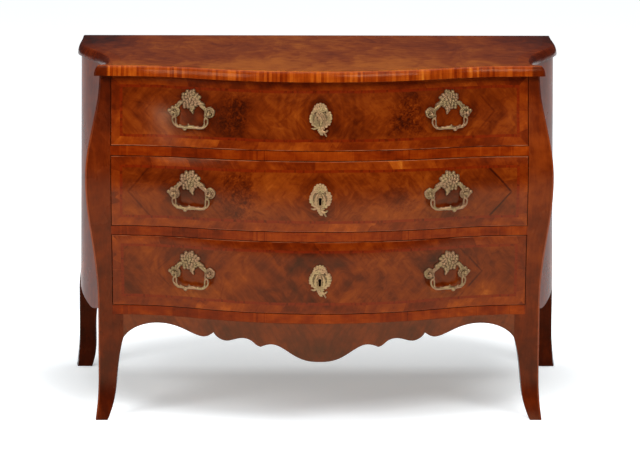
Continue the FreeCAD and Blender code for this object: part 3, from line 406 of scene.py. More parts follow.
def rail_veneer():
    """Dark cross-banding on the rails between the drawers."""
    finish = Finish("rail_banding")
    blotch = finish.sway(finish.x * 26, finish.z * 60, 12.0, detail=3, roughness=0.65)
    tone = cross_banding(finish, 0.33, RAIL_STRIP, 9.0, 0.18) + blotch * 0.55
    return polished(finish, tone.ramp(*BANDING), tone, ior=RAIL_IOR)


# How far out and how far forward the top's border turns dark
BORDER_EARS = (0.494, 0.503)
BORDER_BACK = (-0.19, -0.21)


def edge_veneer():
    """The top's border: as the top above, cross-banded on the rolled front and dark on the sides."""
    finish = Finish("moulding_banding")
    tone = cross_banding(finish, 0.52, EDGE_STRIP, 3.0, 0.36)
    flank = (abs(finish.facing[0]) + finish.facing[1]).step(-0.06, 0.02).most(
        abs(finish.x).step(*BORDER_EARS) * finish.y.step(*BORDER_BACK))
    side = grain(finish, finish.y, finish.x, 0.0, 7.0).ramp(*LEG_WOOD)
    over = abs(finish.facing[2]).step(0.80, 0.92)
    rim = finish.mix(flank, tone.ramp(*BANDING), side)
    colour = finish.mix(over, rim, top_figure(finish).ramp(*WALNUT))
    return polished(finish, colour, tone, ior=EDGE_IOR)


def side_veneer(hand):
    """A side panel's plain veneer, its figure running up and down."""
    finish = Finish(hand + "_side_veneer")
    tone = grain(finish, finish.y + finish.z * 0.15, finish.z, 0.0, 21.0) - 0.02
    return polished(finish, tone.ramp(*WALNUT), tone, PANEL_ROUGHNESS, ior=PANEL_IOR)


def top_figure(finish):
    """Cloudy figure, lighter towards the middle and the front and dark at the back corners."""
    x, y = finish.x, finish.y
    clouds = finish.sway(x * 6, y * 2.6, 41.0, detail=3, roughness=0.6)
    swirl = finish.sway(x * 15 + clouds * 2, y * 6 - clouds * 2, 43.0, detail=4, roughness=0.65,
                        distortion=1.2)
    streaks = finish.sway(x * 26, y * 90, 45.0, detail=2, roughness=0.6)
    middle = abs(x).step(0.60, 0.10)
    front = y.step(-0.02, -0.24)
    back_corner = abs(x).step(0.40, 0.56) * y.step(0.05, 0.30)
    return (0.53 + clouds * 0.75 + swirl * 0.85 + streaks * 0.65 + middle * 0.24 + front * 0.16
            - back_corner * 0.35)


def top_veneer():
    """The polished top board."""
    finish = Finish("top_veneer")
    tone = top_figure(finish)
    return polished(finish, tone.ramp(*WALNUT), tone)


# How light each leg is at its foot, and how much lighter on its post; the right front leg is lighter than the
# left with painted light, and the rear feet are darker with painted shade
FRONT_LEG_TONES_AND_LIGHT = {"left": (-0.11, 0.18), "right": (-0.05, 0.26)}
REAR_LEG_TONES_AND_SHADE = (-0.20, 0.20)
# The heights over which a foot turns into a post, the painted highlight on the arris fades, and the painted
# shade under the top begins
POST_START = (0.10, 0.55)
ARRIS_HIGHLIGHT_END = (0.78, 0.64)
TOP_SHADE = (0.735, 0.795)
APRON_LEAN = math.radians(58)
BACK_BOARDS = 3


def leg_wood(name, seed, tones_and_light, ior):
    """Solid and veneered walnut, lighter on the posts than on the feet, with painted shade on the flanks and
    under the top and a painted highlight along the front arris.
    """
    finish = Finish(name)
    tone = grain(finish, finish.x + finish.y * 0.6, finish.z, 0.0, seed, 0.8)
    foot, post = tones_and_light
    height = finish.z.step(*POST_START)
    aside = abs(finish.facing[0])
    arris_highlight = aside.band(0.71, 0.16) * finish.facing[1].step(-0.45, -0.60) * finish.z.step(*ARRIS_HIGHLIGHT_END)
    flank = aside.step(0.75, 0.92)
    under_top = finish.z.step(*TOP_SHADE)
    # A painted highlight along the front arris, painted shade on the flanks and painted shade under the top
    tone = tone + foot + height * post + arris_highlight * 0.42 - flank * 0.12 - under_top * 0.20
    return polished(finish, tone.ramp(*LEG_WOOD), tone, LEG_ROUGHNESS, ior=ior)


def apron_veneer():
    """Cross-grained veneer with a figure matched about the middle."""
    finish = Finish("apron_veneer")
    u = abs(finish.x)
    cosine, sine = math.cos(APRON_LEAN), math.sin(APRON_LEAN)
    across = u * sine - finish.z * cosine
    along = u * cosine + finish.z * sine
    tone = grain(finish, across, along, 0.0, 63.0) - 0.16
    return polished(finish, tone.ramp(*WALNUT), tone)


def pine(name, across_of, along_of, boarded=None):
    """Bare softwood; each of the level boards of the node boarded has a tone and a figure of its own."""
    finish = Finish(name)
    across = across_of(finish)
    shade = 0.0
    if boarded:
        low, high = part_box(boarded)
        board = ((finish.z - low.z) * (BACK_BOARDS / (high.z - low.z))).floor()
        shade = (board.chance(4.0) - 0.5) * 0.30
        across = across + board * 1.7
    tone = grain(finish, across, along_of(finish), 0.0, 5.0, 0.7) + shade
    finish.set(Base_Color=tone.ramp(*PINE), Roughness=0.62 + tone * 0.1)
    finish.bumped(tone, 0.2 * MM)
    return finish.material


# ---- Metal ----
# A redder and a greener tint of the brass, on the keyhole plates and on the handles, and its brown dirt
PLATE_TINTS = ((0.368, 0.212, 0.107), (0.342, 0.230, 0.105))
HANDLE_TINTS = ((0.268, 0.150, 0.080), (0.250, 0.166, 0.078))
DIRT = (0.110, 0.066, 0.026)
# How far out the plates' brass turns into the handles'
HANDLE_START = (0.10, 0.20)
IRON_TONES = ((0.35, (0.055, 0.052, 0.050)), (0.62, (0.085, 0.060, 0.045)), (0.80, (0.16, 0.06, 0.03)))


def aged_brass():
    """Old lacquered brass with brown dirt in its hollows, darker and browner on the handles than on the
    keyhole plates.
    """
    finish = Finish("aged_brass")
    stain = finish.speckle(130, detail=3, roughness=0.6)
    fine = finish.speckle(900, detail=2)
    hollow = added(finish.tree, "Attribute", "Fac", {}, attribute_name="hollow")
    age = (hollow * 0.75 + (stain - 0.5) * 0.9).step(0.0, 0.95)
    tint = finish.noise(finish.x * 45, finish.y * 45, finish.z * 45 + 8, detail=1)
    on_handles = abs(finish.x).step(*HANDLE_START)
    redder, greener = (finish.mix(on_handles, *pair) for pair in zip(PLATE_TINTS, HANDLE_TINTS))
    clean = finish.mix(tint.step(0.35, 0.65), redder, greener)
    colour = finish.mix(age, clean, DIRT)
    finish.set(Base_Color=colour, Metallic=0.95 - age * 0.3, Roughness=0.36 + age * 0.25 + fine * 0.08)
    finish.bumped(fine, 0.08 * MM)
    return finish.material


def lock_iron():
    """Dark iron with a little rust."""
    finish = Finish("lock_iron")
    rust = finish.speckle(90, detail=4, roughness=0.65)
    finish.set(Base_Color=rust.ramp(*IRON_TONES), Metallic=0.8, Roughness=0.45 + rust * 0.3)
    finish.bumped(rust, 0.2 * MM)
    return finish.material


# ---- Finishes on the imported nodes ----
def dress(material, *names):
    """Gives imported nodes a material."""
    for name in names:
        mesh = NODES[name].data
        mesh.materials.clear()
        mesh.materials.append(material)


BRASS = aged_brass()
IRON = lock_iron()
SOFTWOOD = pine("pine", lambda f: f.y + f.z, lambda f: f.x)
SIDE_SOFTWOOD = pine("pine_sides", lambda f: f.x + f.z, lambda f: f.y)
BACK_SOFTWOOD = pine("back_boards", lambda f: f.z, lambda f: f.x, "back_boards")

dress(top_veneer(), "top_board")
dress(edge_veneer(), "top_moulding")
dress(rail_veneer(), "top_rail", "upper_divider", "lower_divider", "bottom_rail")
dress(apron_veneer(), "front_apron")
for hand in ("left", "right"):
    dress(side_veneer(hand), hand + "_side")
    dress(leg_wood(hand + "_front_leg_wood", 31.0, FRONT_LEG_TONES_AND_LIGHT[hand], LEG_IOR), "front_%s_leg" % hand)
    dress(leg_wood(hand + "_rear_leg_wood", 35.0, REAR_LEG_TONES_AND_SHADE, REAR_LEG_IOR), "rear_%s_leg" % hand)
for number in DRAWERS:
    dress(drawer_veneer(number), "drawer_%d_front" % number)
    dress(IRON, "drawer_%d_lock_case" % number, "drawer_%d_lock_bolt" % number)
    dress(BRASS, "drawer_%d_handle_posts" % number)
for name, node in NODES.items():
    if "inner_softwood" in node.data.materials[0].name:
        lengthways = name == "drawer_guides" or name.endswith(("_left_side", "_right_side"))
        dress(SIDE_SOFTWOOD if lengthways else BACK_SOFTWOOD if name == "back_boards" else SOFTWOOD, name)
    if "gilt_brass" in node.data.materials[0].name:
        dress(BRASS, name)


# ---- Mesh tools ----
# From how far out the wood is felt for, and how deep a hit is a hole's
FEELER = 50 * MM
HOLE_DEPTH = 12 * MM


def placed(name, data):
    """A new object in the scene."""
    made = bpy.data.objects.new(name, data)
    bpy.context.scene.collection.objects.link(made)
    return made


def front_tree(number):
    """A drawer's front, to be felt for with rays."""
    front = NODES["drawer_%d_front" % number].data
    return BVHTree.FromPolygons([v.co for v in front.vertices], [tuple(p.vertices) for p in front.polygons])


class Seat:
    """A place on a drawer's front: its origin on the wood, and level axes across, up and out."""

    def __init__(self, number, x, z, tilted, clear=0.0):
        """clear is how far on both sides of x the wood is felt for, where it has a hole at x."""
        self.tree = front_tree(number)
        hits = [self.tree.ray_cast(Vector((x + side, -1, z)), Vector((0, 1, 0)))[:2]
                for side in (-clear, clear)]
        self.origin = (hits[0][0] + hits[1][0]) / 2
        normal = hits[0][1] + hits[1][1]
        if not tilted:
            normal.z = 0
        self.out = normal.normalized()
        self.across = Vector((-self.out.y, self.out.x, 0)).normalized()
        self.up = self.out.cross(self.across)

    def depth(self, across, up):
        """How far the wood lies behind the seat's plane, negative where it lies in front."""
        start = self.origin + self.across * across + self.up * up + self.out * FEELER
        hit = self.tree.ray_cast(start, -self.out)[0]
        depth = FEELER - (hit - start).length if hit else 0.0
        return depth if abs(depth) < HOLE_DEPTH else 0.0


def to_world(seat, points, follow):
    """Points across, up and out in millimetres, laid on the curved wood if they follow it."""
    if follow:
        low = points.min(0)
        high = points.max(0)
        step = 3.0
        columns = np.arange(low[0] - step, high[0] + 2 * step, step)
        rows = np.arange(low[1] - step, high[1] + 2 * step, step)
        table = np.array([[seat.depth(a * MM, w * MM) / MM for w in rows] for a in columns])
        i = ((points[:, 0] - columns[0]) / step).astype(int)
        j = ((points[:, 1] - rows[0]) / step).astype(int)
        u = (points[:, 0] - columns[i]) / step
        v = (points[:, 1] - rows[j]) / step
        lift = (table[i, j] * (1 - u) * (1 - v) + table[i + 1, j] * u * (1 - v)
                + table[i, j + 1] * (1 - u) * v + table[i + 1, j + 1] * u * v)
    else:
        lift = 0.0
    frame_axes = np.array([seat.across, seat.up, seat.out])
    local = np.column_stack((points[:, 0], points[:, 1], points[:, 2] + lift)) * MM
    return np.array(seat.origin) + local @ frame_axes


def mesh_object(name, points, faces, flip=False, hollow=None):
    """A smooth-shaded object; flip mirrors it to the chest's other side."""
    if flip:
        points = points * np.array([-1, 1, 1])
        faces = [tuple(reversed(face)) for face in faces]
    mesh = bpy.data.meshes.new(name)
    mesh.from_pydata(points.tolist(), [], faces)
    mesh.polygons.foreach_set("use_smooth", np.ones(len(mesh.polygons), bool))
    if hollow is not None:
        values = mesh.attributes.new("hollow", "FLOAT", "POINT").data
        values.foreach_set("value", hollow.astype(np.float32))
    return placed(name, mesh)


def fused(forms, voxel):
    """The points and faces of overlapping closed forms turned into one skin, as a casting is."""
    made = mesh_object("pattern", *together(forms))
    remesh = made.modifiers.new("skin", "REMESH")
    remesh.mode = "VOXEL"
    remesh.voxel_size = voxel
    soften = made.modifiers.new("soften", "SMOOTH")
    soften.factor = 0.5
    soften.iterations = 2
    skin = bpy.data.meshes.new_from_object(made.evaluated_get(bpy.context.evaluated_depsgraph_get()))
    bpy.data.objects.remove(made)
    return np.array([v.co for v in skin.vertices]), [tuple(p.vertices) for p in skin.polygons]


def curve_through(points, steps):
    """Points along a smooth curve through a few given ones (Catmull-Rom)."""
    knots = np.array([points[0], *points, points[-1]], float)
    run = []
    for index in range(1, len(knots) - 2):
        a, b, c, d = knots[index - 1:index + 3]
        for t in np.arange(steps) / steps:
            run.append(0.5 * (2 * b + (c - a) * t + (2 * a - 5 * b + 4 * c - d) * t ** 2
                              + (3 * b - a - 3 * c + d) * t ** 3))
    run.append(knots[-2])
    return np.array(run)


def tube(path, radii, sides=12):
    """A closed tube with round ends along a path, with a radius at each point."""
    path = np.array(path, float)
    ahead = np.gradient(path, axis=0)
    ahead /= np.linalg.norm(ahead, axis=1)[:, None]
    side = np.cross(ahead, (0.0, 0.0, 1.0))
    side /= np.linalg.norm(side, axis=1)[:, None]
    over = np.cross(side, ahead)

    def cap(where, way, leans):
        return [(path[where] + ahead[where] * way * radii[where] * lean, side[where], over[where],
                 radii[where] * math.sqrt(1 - lean ** 2)) for lean in leans]

    rings = cap(0, -1, (0.95, 0.55, 0.35)) + [*zip(path, side, over, radii)] + cap(-1, 1, (0.35, 0.75, 0.95))
    points = []
    for centre, one, two, radius in rings:
        for k in range(sides):
            turn = 2 * math.pi * k / sides
            points.append(centre + radius * (math.cos(turn) * one + math.sin(turn) * two))
    faces = []
    for r in range(len(rings) - 1):
        for k in range(sides):
            n = (k + 1) % sides
            faces.append((r * sides + k, r * sides + n, (r + 1) * sides + n, (r + 1) * sides + k))
    faces.append(tuple(reversed(range(sides))))
    faces.append(tuple((len(rings) - 1) * sides + k for k in range(sides)))
    return np.array(points), faces


def ball(centre, radii, rings=8, sides=14):
    """An ellipsoid with its poles along the first axis."""
    turns = np.linspace(0, math.pi, rings + 1)[1:-1]
    points = [(-1.0, 0.0, 0.0)]
    for turn in turns:
        for k in range(sides):
            around = 2 * math.pi * k / sides
            points.append((-math.cos(turn), math.sin(turn) * math.cos(around),
                           math.sin(turn) * math.sin(around)))
    points.append((1.0, 0.0, 0.0))
    faces = [(0, 1 + (k + 1) % sides, 1 + k) for k in range(sides)]
    for r in range(len(turns) - 1):
        for k in range(sides):
            a, b = 1 + r * sides + k, 1 + r * sides + (k + 1) % sides
            faces.append((a, b, b + sides, a + sides))
    last = 1 + (len(turns) - 1) * sides
    faces += [(last + k, last + (k + 1) % sides, len(points) - 1) for k in range(sides)]
    return np.array(points) * np.array(radii) + np.array(centre), faces


def together(forms):
    """The points and faces of several forms as one."""
    points, faces, start = [], [], 0
    for some, more in forms:
        points.append(some)
        faces += [tuple(index + start for index in face) for face in more]
        start += len(some)
    return np.concatenate(points), faces


def blurred(grid, rounds):
    """Each cell takes the mean of its four neighbours, again and again."""
    for _ in range(rounds):
        padded = np.pad(grid, 1, mode="edge")
        grid = (padded[:-2, 1:-1] + padded[2:, 1:-1] + padded[1:-1, :-2] + padded[1:-1, 2:]) / 4
    return grid


# How many rounds of blurring find the fine and the broad hollows of a relief
FINE_ROUNDS = 6
BROAD_ROUNDS = 60


class Relief:
    """A cast ornament in millimetres: its height over a grid; it ends where its shape falls below 0."""

    def __init__(self, low, high, cell):
        self.a, self.w = np.meshgrid(np.arange(low[0], high[0] + cell, cell),
                                     np.arange(low[1], high[1] + cell, cell), indexing="ij")
        self.shape = np.full(self.a.shape, -9.0)
        self.height = np.zeros(self.a.shape)

    def add(self, form, height, groove=0.0):
        """form is 1 on the ridge and 0 at the outline."""
        inside = form > 0
        swell = height * np.clip(form, 0, 1) ** 0.6 - groove
        self.shape = np.maximum(self.shape, form * 4)
        self.height = np.where(inside, np.maximum(self.height, swell), self.height)

    def turned(self, across, up, turn):
        """How far each cell lies along a direction from a centre, and beside it."""
        c, s = math.cos(turn), math.sin(turn)
        x, y = self.a - across, self.w - up
        return x * c + y * s, y * c - x * s

    def dome(self, across, up, half_across, half_up, height, turn=0.0):
        """A round or oval boss."""
        x, y = self.turned(across, up, turn)
        self.add(1 - (x / half_across) ** 2 - (y / half_up) ** 2, height)

    def petal(self, across, up, turn, near, far, width, height, groove=0.8):
        """A petal that points away from a centre, creased along its middle and lifted at its tip."""
        along, aside = self.turned(across, up, turn)
        share = (along - near) / (far - near)
        spread = width * (0.55 + 0.45 * np.clip(share, 0, 1))
        form = 1 - np.abs(2 * share - 1) ** 2.6 - (aside / spread) ** 2
        crease = groove * np.exp(-(aside / 0.9) ** 2) * np.clip(1.3 - share, 0, 1)
        self.add(form, height * (0.75 + 0.25 * np.clip(share, 0, 1)), crease)

    def ring(self, across, up, count, near, far, width, height, phase=0.0):
        """Petals all round a centre."""
        for k in range(count):
            self.petal(across, up, phase + 2 * math.pi * k / count, near, far, width, height)

    def beside(self, one, two):
        """How far along a straight piece each cell lies, from 0 to 1, and how far off it."""
        (a0, w0), (a1, w1) = one, two
        size = (a1 - a0) ** 2 + (w1 - w0) ** 2
        t = np.clip(((self.a - a0) * (a1 - a0) + (self.w - w0) * (w1 - w0)) / size, 0, 1)
        return t, np.hypot(self.a - a0 - t * (a1 - a0), self.w - w0 - t * (w1 - w0))

    def leaf(self, points, width, height, lobes, groove=0.9):
        """A lobed leaf along a curve, pointed at its end, with a midrib and side veins."""
        path = curve_through(points, 10)
        step = np.linalg.norm(np.diff(path, axis=0), axis=1)
        run = np.concatenate(([0], np.cumsum(step)))
        distance = np.full(self.a.shape, 1e9)
        share = np.zeros(self.a.shape)
        for one, two, start, size in zip(path[:-1], path[1:], run[:-1], step):
            t, gap = self.beside(one, two)
            nearer = gap < distance
            distance = np.where(nearer, gap, distance)
            share = np.where(nearer, (start + t * size) / run[-1], share)
        spread = width * np.sin(math.pi * (0.12 + 0.86 * share) ** 0.8) + 0.4
        spread *= 1 + 0.16 * np.sin(2 * math.pi * lobes * share - 1)
        form = 1 - (distance / spread) ** 2
        veins = (0.35 * np.sin(2 * math.pi * lobes * 1.5 * share + distance * 0.9)
                 * np.clip(distance / 2, 0, 1))
        self.add(form, height, groove * np.exp(-(distance / 0.8) ** 2) + veins)

    def stem(self, points, radius, height, end=1.0):
        """A round ridge along a curve; its radius shrinks to a share of itself at the end."""
        path = curve_through(points, 8)
        count = len(path) - 1
        for k in range(count):
            t, gap = self.beside(path[k], path[k + 1])
            thick = radius * (1 + (end - 1) * (k + t) / count)
            self.add(1 - (gap / thick) ** 2, height)

    def pierce(self, gap):
        """Cuts the ornament away where the distance from a hole's edge is negative."""
        self.shape = np.minimum(self.shape, gap)

    def mesh(self, edge, sink):
        """Closed mesh points and faces, and how deep each point lies in a hollow."""
        fine = blurred(self.height, FINE_ROUNDS)
        broad = blurred(fine, BROAD_ROUNDS)
        deep = np.clip((fine - self.height) / 0.5 + (broad - self.height) / 2.5 + 0.25, 0, 1)
        cells = np.stack((self.a, self.w, self.height, deep), -1)
        found, points = {}, []

        def vertex(key, *values):
            if key not in found:
                found[key] = len(points)
                points.append(values)
            return found[key]

        faces = []
        inside = self.shape > 0
        some = inside[:-1, :-1] | inside[1:, :-1] | inside[:-1, 1:] | inside[1:, 1:]
        for i, j in zip(*np.nonzero(some)):
            corners = [(i, j), (i + 1, j), (i + 1, j + 1), (i, j + 1)]
            face = []
            for here, there in zip(corners, corners[1:] + corners[:1]):
                f0, f1 = self.shape[here], self.shape[there]
                if f0 > 0:
                    face.append(vertex(here, *cells[here]))
                if (f0 > 0) != (f1 > 0):
                    a, w = (cells[here] + f0 / (f0 - f1) * (cells[there] - cells[here]))[:2]
                    height, hollow = cells[here if f0 > 0 else there][2:]
                    face.append(vertex(tuple(sorted((here, there))), a, w, height * 0.3, hollow))
            faces.append(tuple(face))
        points = np.array(points)
        top, hollow = points[:, :3], points[:, 3]
        bottom = top.copy()
        top[:, 2] += edge
        bottom[:, 2] = -sink
        count = len(top)
        used = dict.fromkeys(pair for face in faces for pair in zip(face, face[1:] + face[:1]))
        walls = [(two, one, one + count, two + count) for one, two in used if (two, one) not in used]
        under = [tuple(index + count for index in reversed(face)) for face in faces]
        return (np.concatenate((top, bottom)), faces + under + walls,
                np.concatenate((hollow, np.ones(count))))


# ---- Brass mounts ----
# In millimetres: the reliefs' grids, the plates' edges and how far they sink into the wood, and the keyhole
CELL = 0.75
COVER_CELL = 0.5
BAIL_VOXEL = 0.55
PLATE_EDGE = 1.3
COVER_EDGE = 1.0
SINK = 0.2
COVER_LIFT = 3.5
KEY_BORE_RADIUS = 3.2
KEY_SLOT_HALF = 2.3
KEY_SLOT_LENGTH = 14.0
# The flower's florets lie on a spiral, each this far round from the last and so much further out
FLORETS = 32
FLORET_TURN = 2.4
FLORET_SPREAD = 3.85
FLOWER_MIDDLE = (6.5, 31.8)
# The middles of the handle plate's left and right rosettes
ROSETTES = ((-43.0, 2.5), (44.5, -0.5))
ESCUTCHEON_STRETCH = (1.06, 1.04, 1)
# The ground round the keyhole, and the lip at its rim: their heights, and how far off the edge the lip is
GROUND_RADIUS = 19
GROUND_HEIGHT = 2.2
LIP_HEIGHT = 2.6
LIP_PLACE = 1.6
# How far the keyhole lies below the bails' pivots, and how far off its middle the wood is whole
KEY_DROP = 5 * MM
KEYHOLE_HALF = 9 * MM


def mounted(node, body, *form):
    """Puts a brass casting on a body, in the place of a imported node."""
    piece = mesh_object(node + "_cast", *form)
    piece.data.materials.append(BRASS)
    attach(piece, body)
    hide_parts(node)


def rosette(cast, across, up, tips):
    """A round boss of ruffled petals, with a few pointed leaves standing out of it."""
    for turn, reach in tips:
        cast.petal(across, up, math.radians(turn), 4, reach, 5.4, 3.2)
    cast.dome(across, up, 12.0, 12.0, 3.6)
    cast.ring(across, up, 13, 5.5, 13.2, 4.6, 4.2, phase=0.3)
    cast.ring(across, up, 8, 3.0, 9.4, 4.2, 6.0)
    cast.dome(across, up, 5.0, 5.0, 7.4)


def handle_relief():
    """A full ruffled flower over a pendant leaf, joined by leafy scrolls to a rosette on each side."""
    cast = Relief((-64, -18), (66, 60), CELL)
    cast.stem(((-12, 22), (-22, 19), (-30, 13), (-38, 3)), 3.4, 3.6, 0.9)
    cast.stem(((22, 23), (31, 20), (37, 13), (41, 4)), 3.4, 3.6, 0.9)
    cast.leaf(((-12, 20), (-22, 23), (-31, 19)), 4.0, 5.2, 3)
    cast.leaf(((24, 22), (33, 23), (41, 15)), 3.8, 5.2, 4)
    cast.leaf(((-18, 18), (-27, 12), (-33, 4)), 3.4, 4.8, 4)
    cast.dome(6, 30, 23, 20, 3.0)
    cast.leaf(((5, 22), (3, 11), (-2.6, -3)), 7.0, 5.4, 4)
    for k in range(FLORETS):
        turn = FLORET_TURN * k
        reach = FLORET_SPREAD * math.sqrt(k)
        cast.dome(FLOWER_MIDDLE[0] + reach * math.cos(turn) * (1.08 - 0.20 * math.sin(turn)),
                  FLOWER_MIDDLE[1] + reach * 0.98 * math.sin(turn),
                  7.0 - 0.03 * k, 5.4 - 0.02 * k, 8.6 - 0.13 * k, turn + 0.5 * math.sin(3 * k))
    rosette(cast, *ROSETTES[0], ((165, 14), (95, 14)))
    rosette(cast, *ROSETTES[1], ((100, 19), (57, 16), (12, 19)))
    return cast.mesh(PLATE_EDGE, SINK)


def keyhole_gap(cast):
    """The distance outside a keyhole: a round bore over a slot."""
    bore = np.hypot(cast.a, cast.w) - KEY_BORE_RADIUS
    middle = KEY_SLOT_LENGTH / 2
    slot = np.maximum(np.abs(cast.a) - KEY_SLOT_HALF, np.abs(cast.w + middle) - middle)
    return np.minimum(bore, slot)


def escutcheon_relief():
    """A ruffled cartouche: a shell crest over a broad body, a spur, and a tail that curls to one side."""
    cast = Relief((-36, -48), (36, 46), CELL)
    cast.dome(0.5, 1.5, 23.0, 22.5, 0.9)
    for turn in (-58, -37, -21, -2, 15, 32, 52, 130, 146, 167, 184, 200, 222, 238):
        angle = math.radians(turn)
        cast.dome(0.5 + 20.4 * math.cos(angle), 1.5 + 19.0 * math.sin(angle),
                  5.4 + 0.9 * math.sin(3 * turn), 4.4, 2.5 + 0.5 * math.cos(2 * turn), angle)
    cast.dome(0, 20, 11.5, 12, 1.2)
    for k in range(7):
        turn = math.radians(6 + 168 * k / 6)
        cast.dome(11.4 * math.cos(turn), 20.5 + 10.8 * math.sin(turn), 5.0, 4.2, 3.2, turn)
        cast.petal(0, 17, turn, 1, 12, 3.0, 4.4, groove=0.3)
    for side in (-1, 1):
        cast.leaf(((side * 13, -16), (side * 18, -4), (side * 17, 10), (side * 10, 19)), 2.6, 3.0, 5)
        cast.leaf(((side * 4, -20), (side * 9.4, -9), (side * 8.6, 5), (side * 3, 14)), 3.4, 2.8, 4, 0.5)
    cast.leaf(((-3, -15), (-11, -22), (-20, -21.5)), 2.5, 2.6, 2)
    cast.leaf(((0, -10), (1, -21), (5, -34)), 9.0, 3.0, 4)
    cast.stem(((3, -27), (9, -32), (13, -38.5)), 2.6, 3.6, 0.7)
    cast.stem(((6, -28), (11, -29.5), (15, -26.5)), 2.4, 3.6, 0.9)
    cast.leaf(((0, -26), (2, -32), (6, -37)), 4.6, 3.2, 2)
    for side in (-1, 1):
        a, w = side * cast.a - 11.0, cast.w - 14.0 - side
        cast.pierce(np.hypot((a + w) / 1.5, (a - w) / 3.2) - 1.1)
    within = np.hypot(cast.a, cast.w - 2) < GROUND_RADIUS
    cast.height = np.where(within, np.minimum(cast.height, GROUND_HEIGHT), cast.height)
    gap = keyhole_gap(cast)
    lip = np.exp(-(gap - LIP_PLACE) ** 2)
    cast.height = np.maximum(cast.height, LIP_HEIGHT * lip)
    cast.pierce(gap)
    points, faces, hollow = cast.mesh(PLATE_EDGE, SINK)
    return points * ESCUTCHEON_STRETCH, faces, hollow


def cover_relief():
    """The keyhole cover: a slender drop with an S-shaped scroll on it."""
    cast = Relief((-10, -19), (10, 28), COVER_CELL)
    cast.dome(0, 20, 4.4, 5.0, 1.6)
    cast.leaf(((1, 25), (-2, 13), (2, 1), (0.5, -17)), 7.0, 1.4, 4, groove=0.0)
    cast.stem(((3, 16), (-1.8, 14), (-3.2, 8), (0.5, 3), (3.6, -2), (2.4, -8), (-0.5, -13)), 1.6, 2.6)
    cast.dome(0, 20, 2.6, 2.6, 2.6)
    return cast.mesh(COVER_EDGE, 0.0)


def bail_forms():
    """The bail's forms across, up and out from the middle between its pivots.

    On each side: pin, hip, outer and inner scroll, and collar. The bar joins the sides.
    """
    forms = []
    for side in (-1, 1):
        def path(*points):
            return curve_through([(side * across, up, 0.0) for across, up in points], 6)

        pieces = ((path((51.8, 0), (46, 0), (39.5, 0)), 2.3, 2.3),
                  (path((39.5, 0), (38.3, -1.5), (38.6, -5), (40.5, -9)), 2.4, 3.0),
                  (path((40.5, -8), (44.4, -12), (45, -17), (43.5, -23), (38.5, -29), (30, -32.6)), 2.2, 2.4),
                  (path((40, -8), (37.2, -12), (36.8, -18), (36.4, -24), (33, -29.5), (26, -32.4)), 2.1, 2.3),
                  (path((38.5, -8.5), (42.5, -9.0)), 2.7, 2.7))
        forms += [tube(run, np.linspace(first, last, len(run))) for run, first, last in pieces]
    bar = curve_through([(-33, -32.0, 0), (-22, -33.4, 0), (-9, -32.4, 0), (3, -32.2, 0), (15, -33.2, 0),
                         (33, -32.0, 0)], 8)
    swell = 3.3 + 1.5 * np.exp(-((bar[:, 0] - 2) / 9) ** 2)
    forms.append(tube(bar, swell))
    knob_and_beads = (((13.5, -36.2, 0), (5.6, 5.8, 5.0)), ((8.8, -33, 0), (1.7, 4.6, 4.3)),
                      ((20, -33, 0), (1.7, 4.3, 4.0)), ((-9, -32.8, 0), (1.7, 4.2, 4.0)))
    leaves = ((((3.0, -30.5, 0), (3.4, -28.0, 0.4), (4.2, -25.6, 1.0)), (3.4, 2.4, 1.0)),
              (((23.5, -31.5, 0), (25, -29.0, 0.4), (27, -27.4, 0.8)), (3.2, 2.2, 1.0)),
              (((-16, -32.5, 0), (-18.5, -30.2, 0.2), (-21.5, -29.0, 0.6)), (3.2, 2.0, 0.9)),
              (((-4, -31.5, 0), (-6.5, -29.4, 0.2), (-9.5, -28.6, 0.6)), (3.2, 1.9, 0.8)))
    return forms + [ball(*form) for form in knob_and_beads] + [tube(*form) for form in leaves]


def handle_place(number):
    """Where a drawer's right handle sits: below its pivots along the level axis out of the wood."""
    record = bail_joint(number)
    pivot = Vector(record["pos_m"])
    across = -Vector(record["axis"])
    out = Vector((across.y, -across.x, 0)).normalized()
    foot = front_tree(number).ray_cast(pivot, -out)[0]
    return foot.x, pivot.z


def handles():
    """The plates and bails of all drawers; the left ones are the right ones mirrored."""
    plate_points, plate_faces, hollow = handle_relief()
    bail_points, bail_faces = fused(bail_forms(), BAIL_VOXEL)
    for number in DRAWERS:
        pivot = bail_joint(number)["pos_m"]
        place = handle_place(number)
        seat = Seat(number, *place, True)
        swing = Seat(number, *place, False)
        swing.origin = Vector(pivot)
        plate = to_world(seat, plate_points, True)
        bail = to_world(swing, bail_points, False)
        for hand in ("right", "left"):
            flip = hand == "left"
            mounted("drawer_%d_%s_handle_plate" % (number, hand), "drawer_%d" % number,
                    plate, plate_faces, flip, hollow)
            mounted("drawer_%d_%s_bail" % (number, hand), "%s_bail_%d" % (hand, number),
                    bail, bail_faces, flip)


def keyhole_plates():
    """The three keyhole plates, and the cover that hangs on the upper one."""
    points, faces, hollow = escutcheon_relief()
    seats = {}
    for number in DRAWERS:
        height = bail_joint(number)["pos_m"][2] - KEY_DROP
        seats[number] = Seat(number, 0.0, height, True, KEYHOLE_HALF)
        mounted("drawer_%d_escutcheon" % number, "drawer_%d" % number,
                to_world(seats[number], points, True), faces, False, hollow)
    points, faces, hollow = cover_relief()
    points[:, 2] += COVER_LIFT
    mounted("keyhole_cover", "keyhole_cover", to_world(seats[1], points, False), faces, False, hollow)


handles()
keyhole_plates()


# ---- Floor, light and camera ----
FLOOR_HALF_WIDTH = 9.0
FLOOR_HALF_DEPTH = 12.0
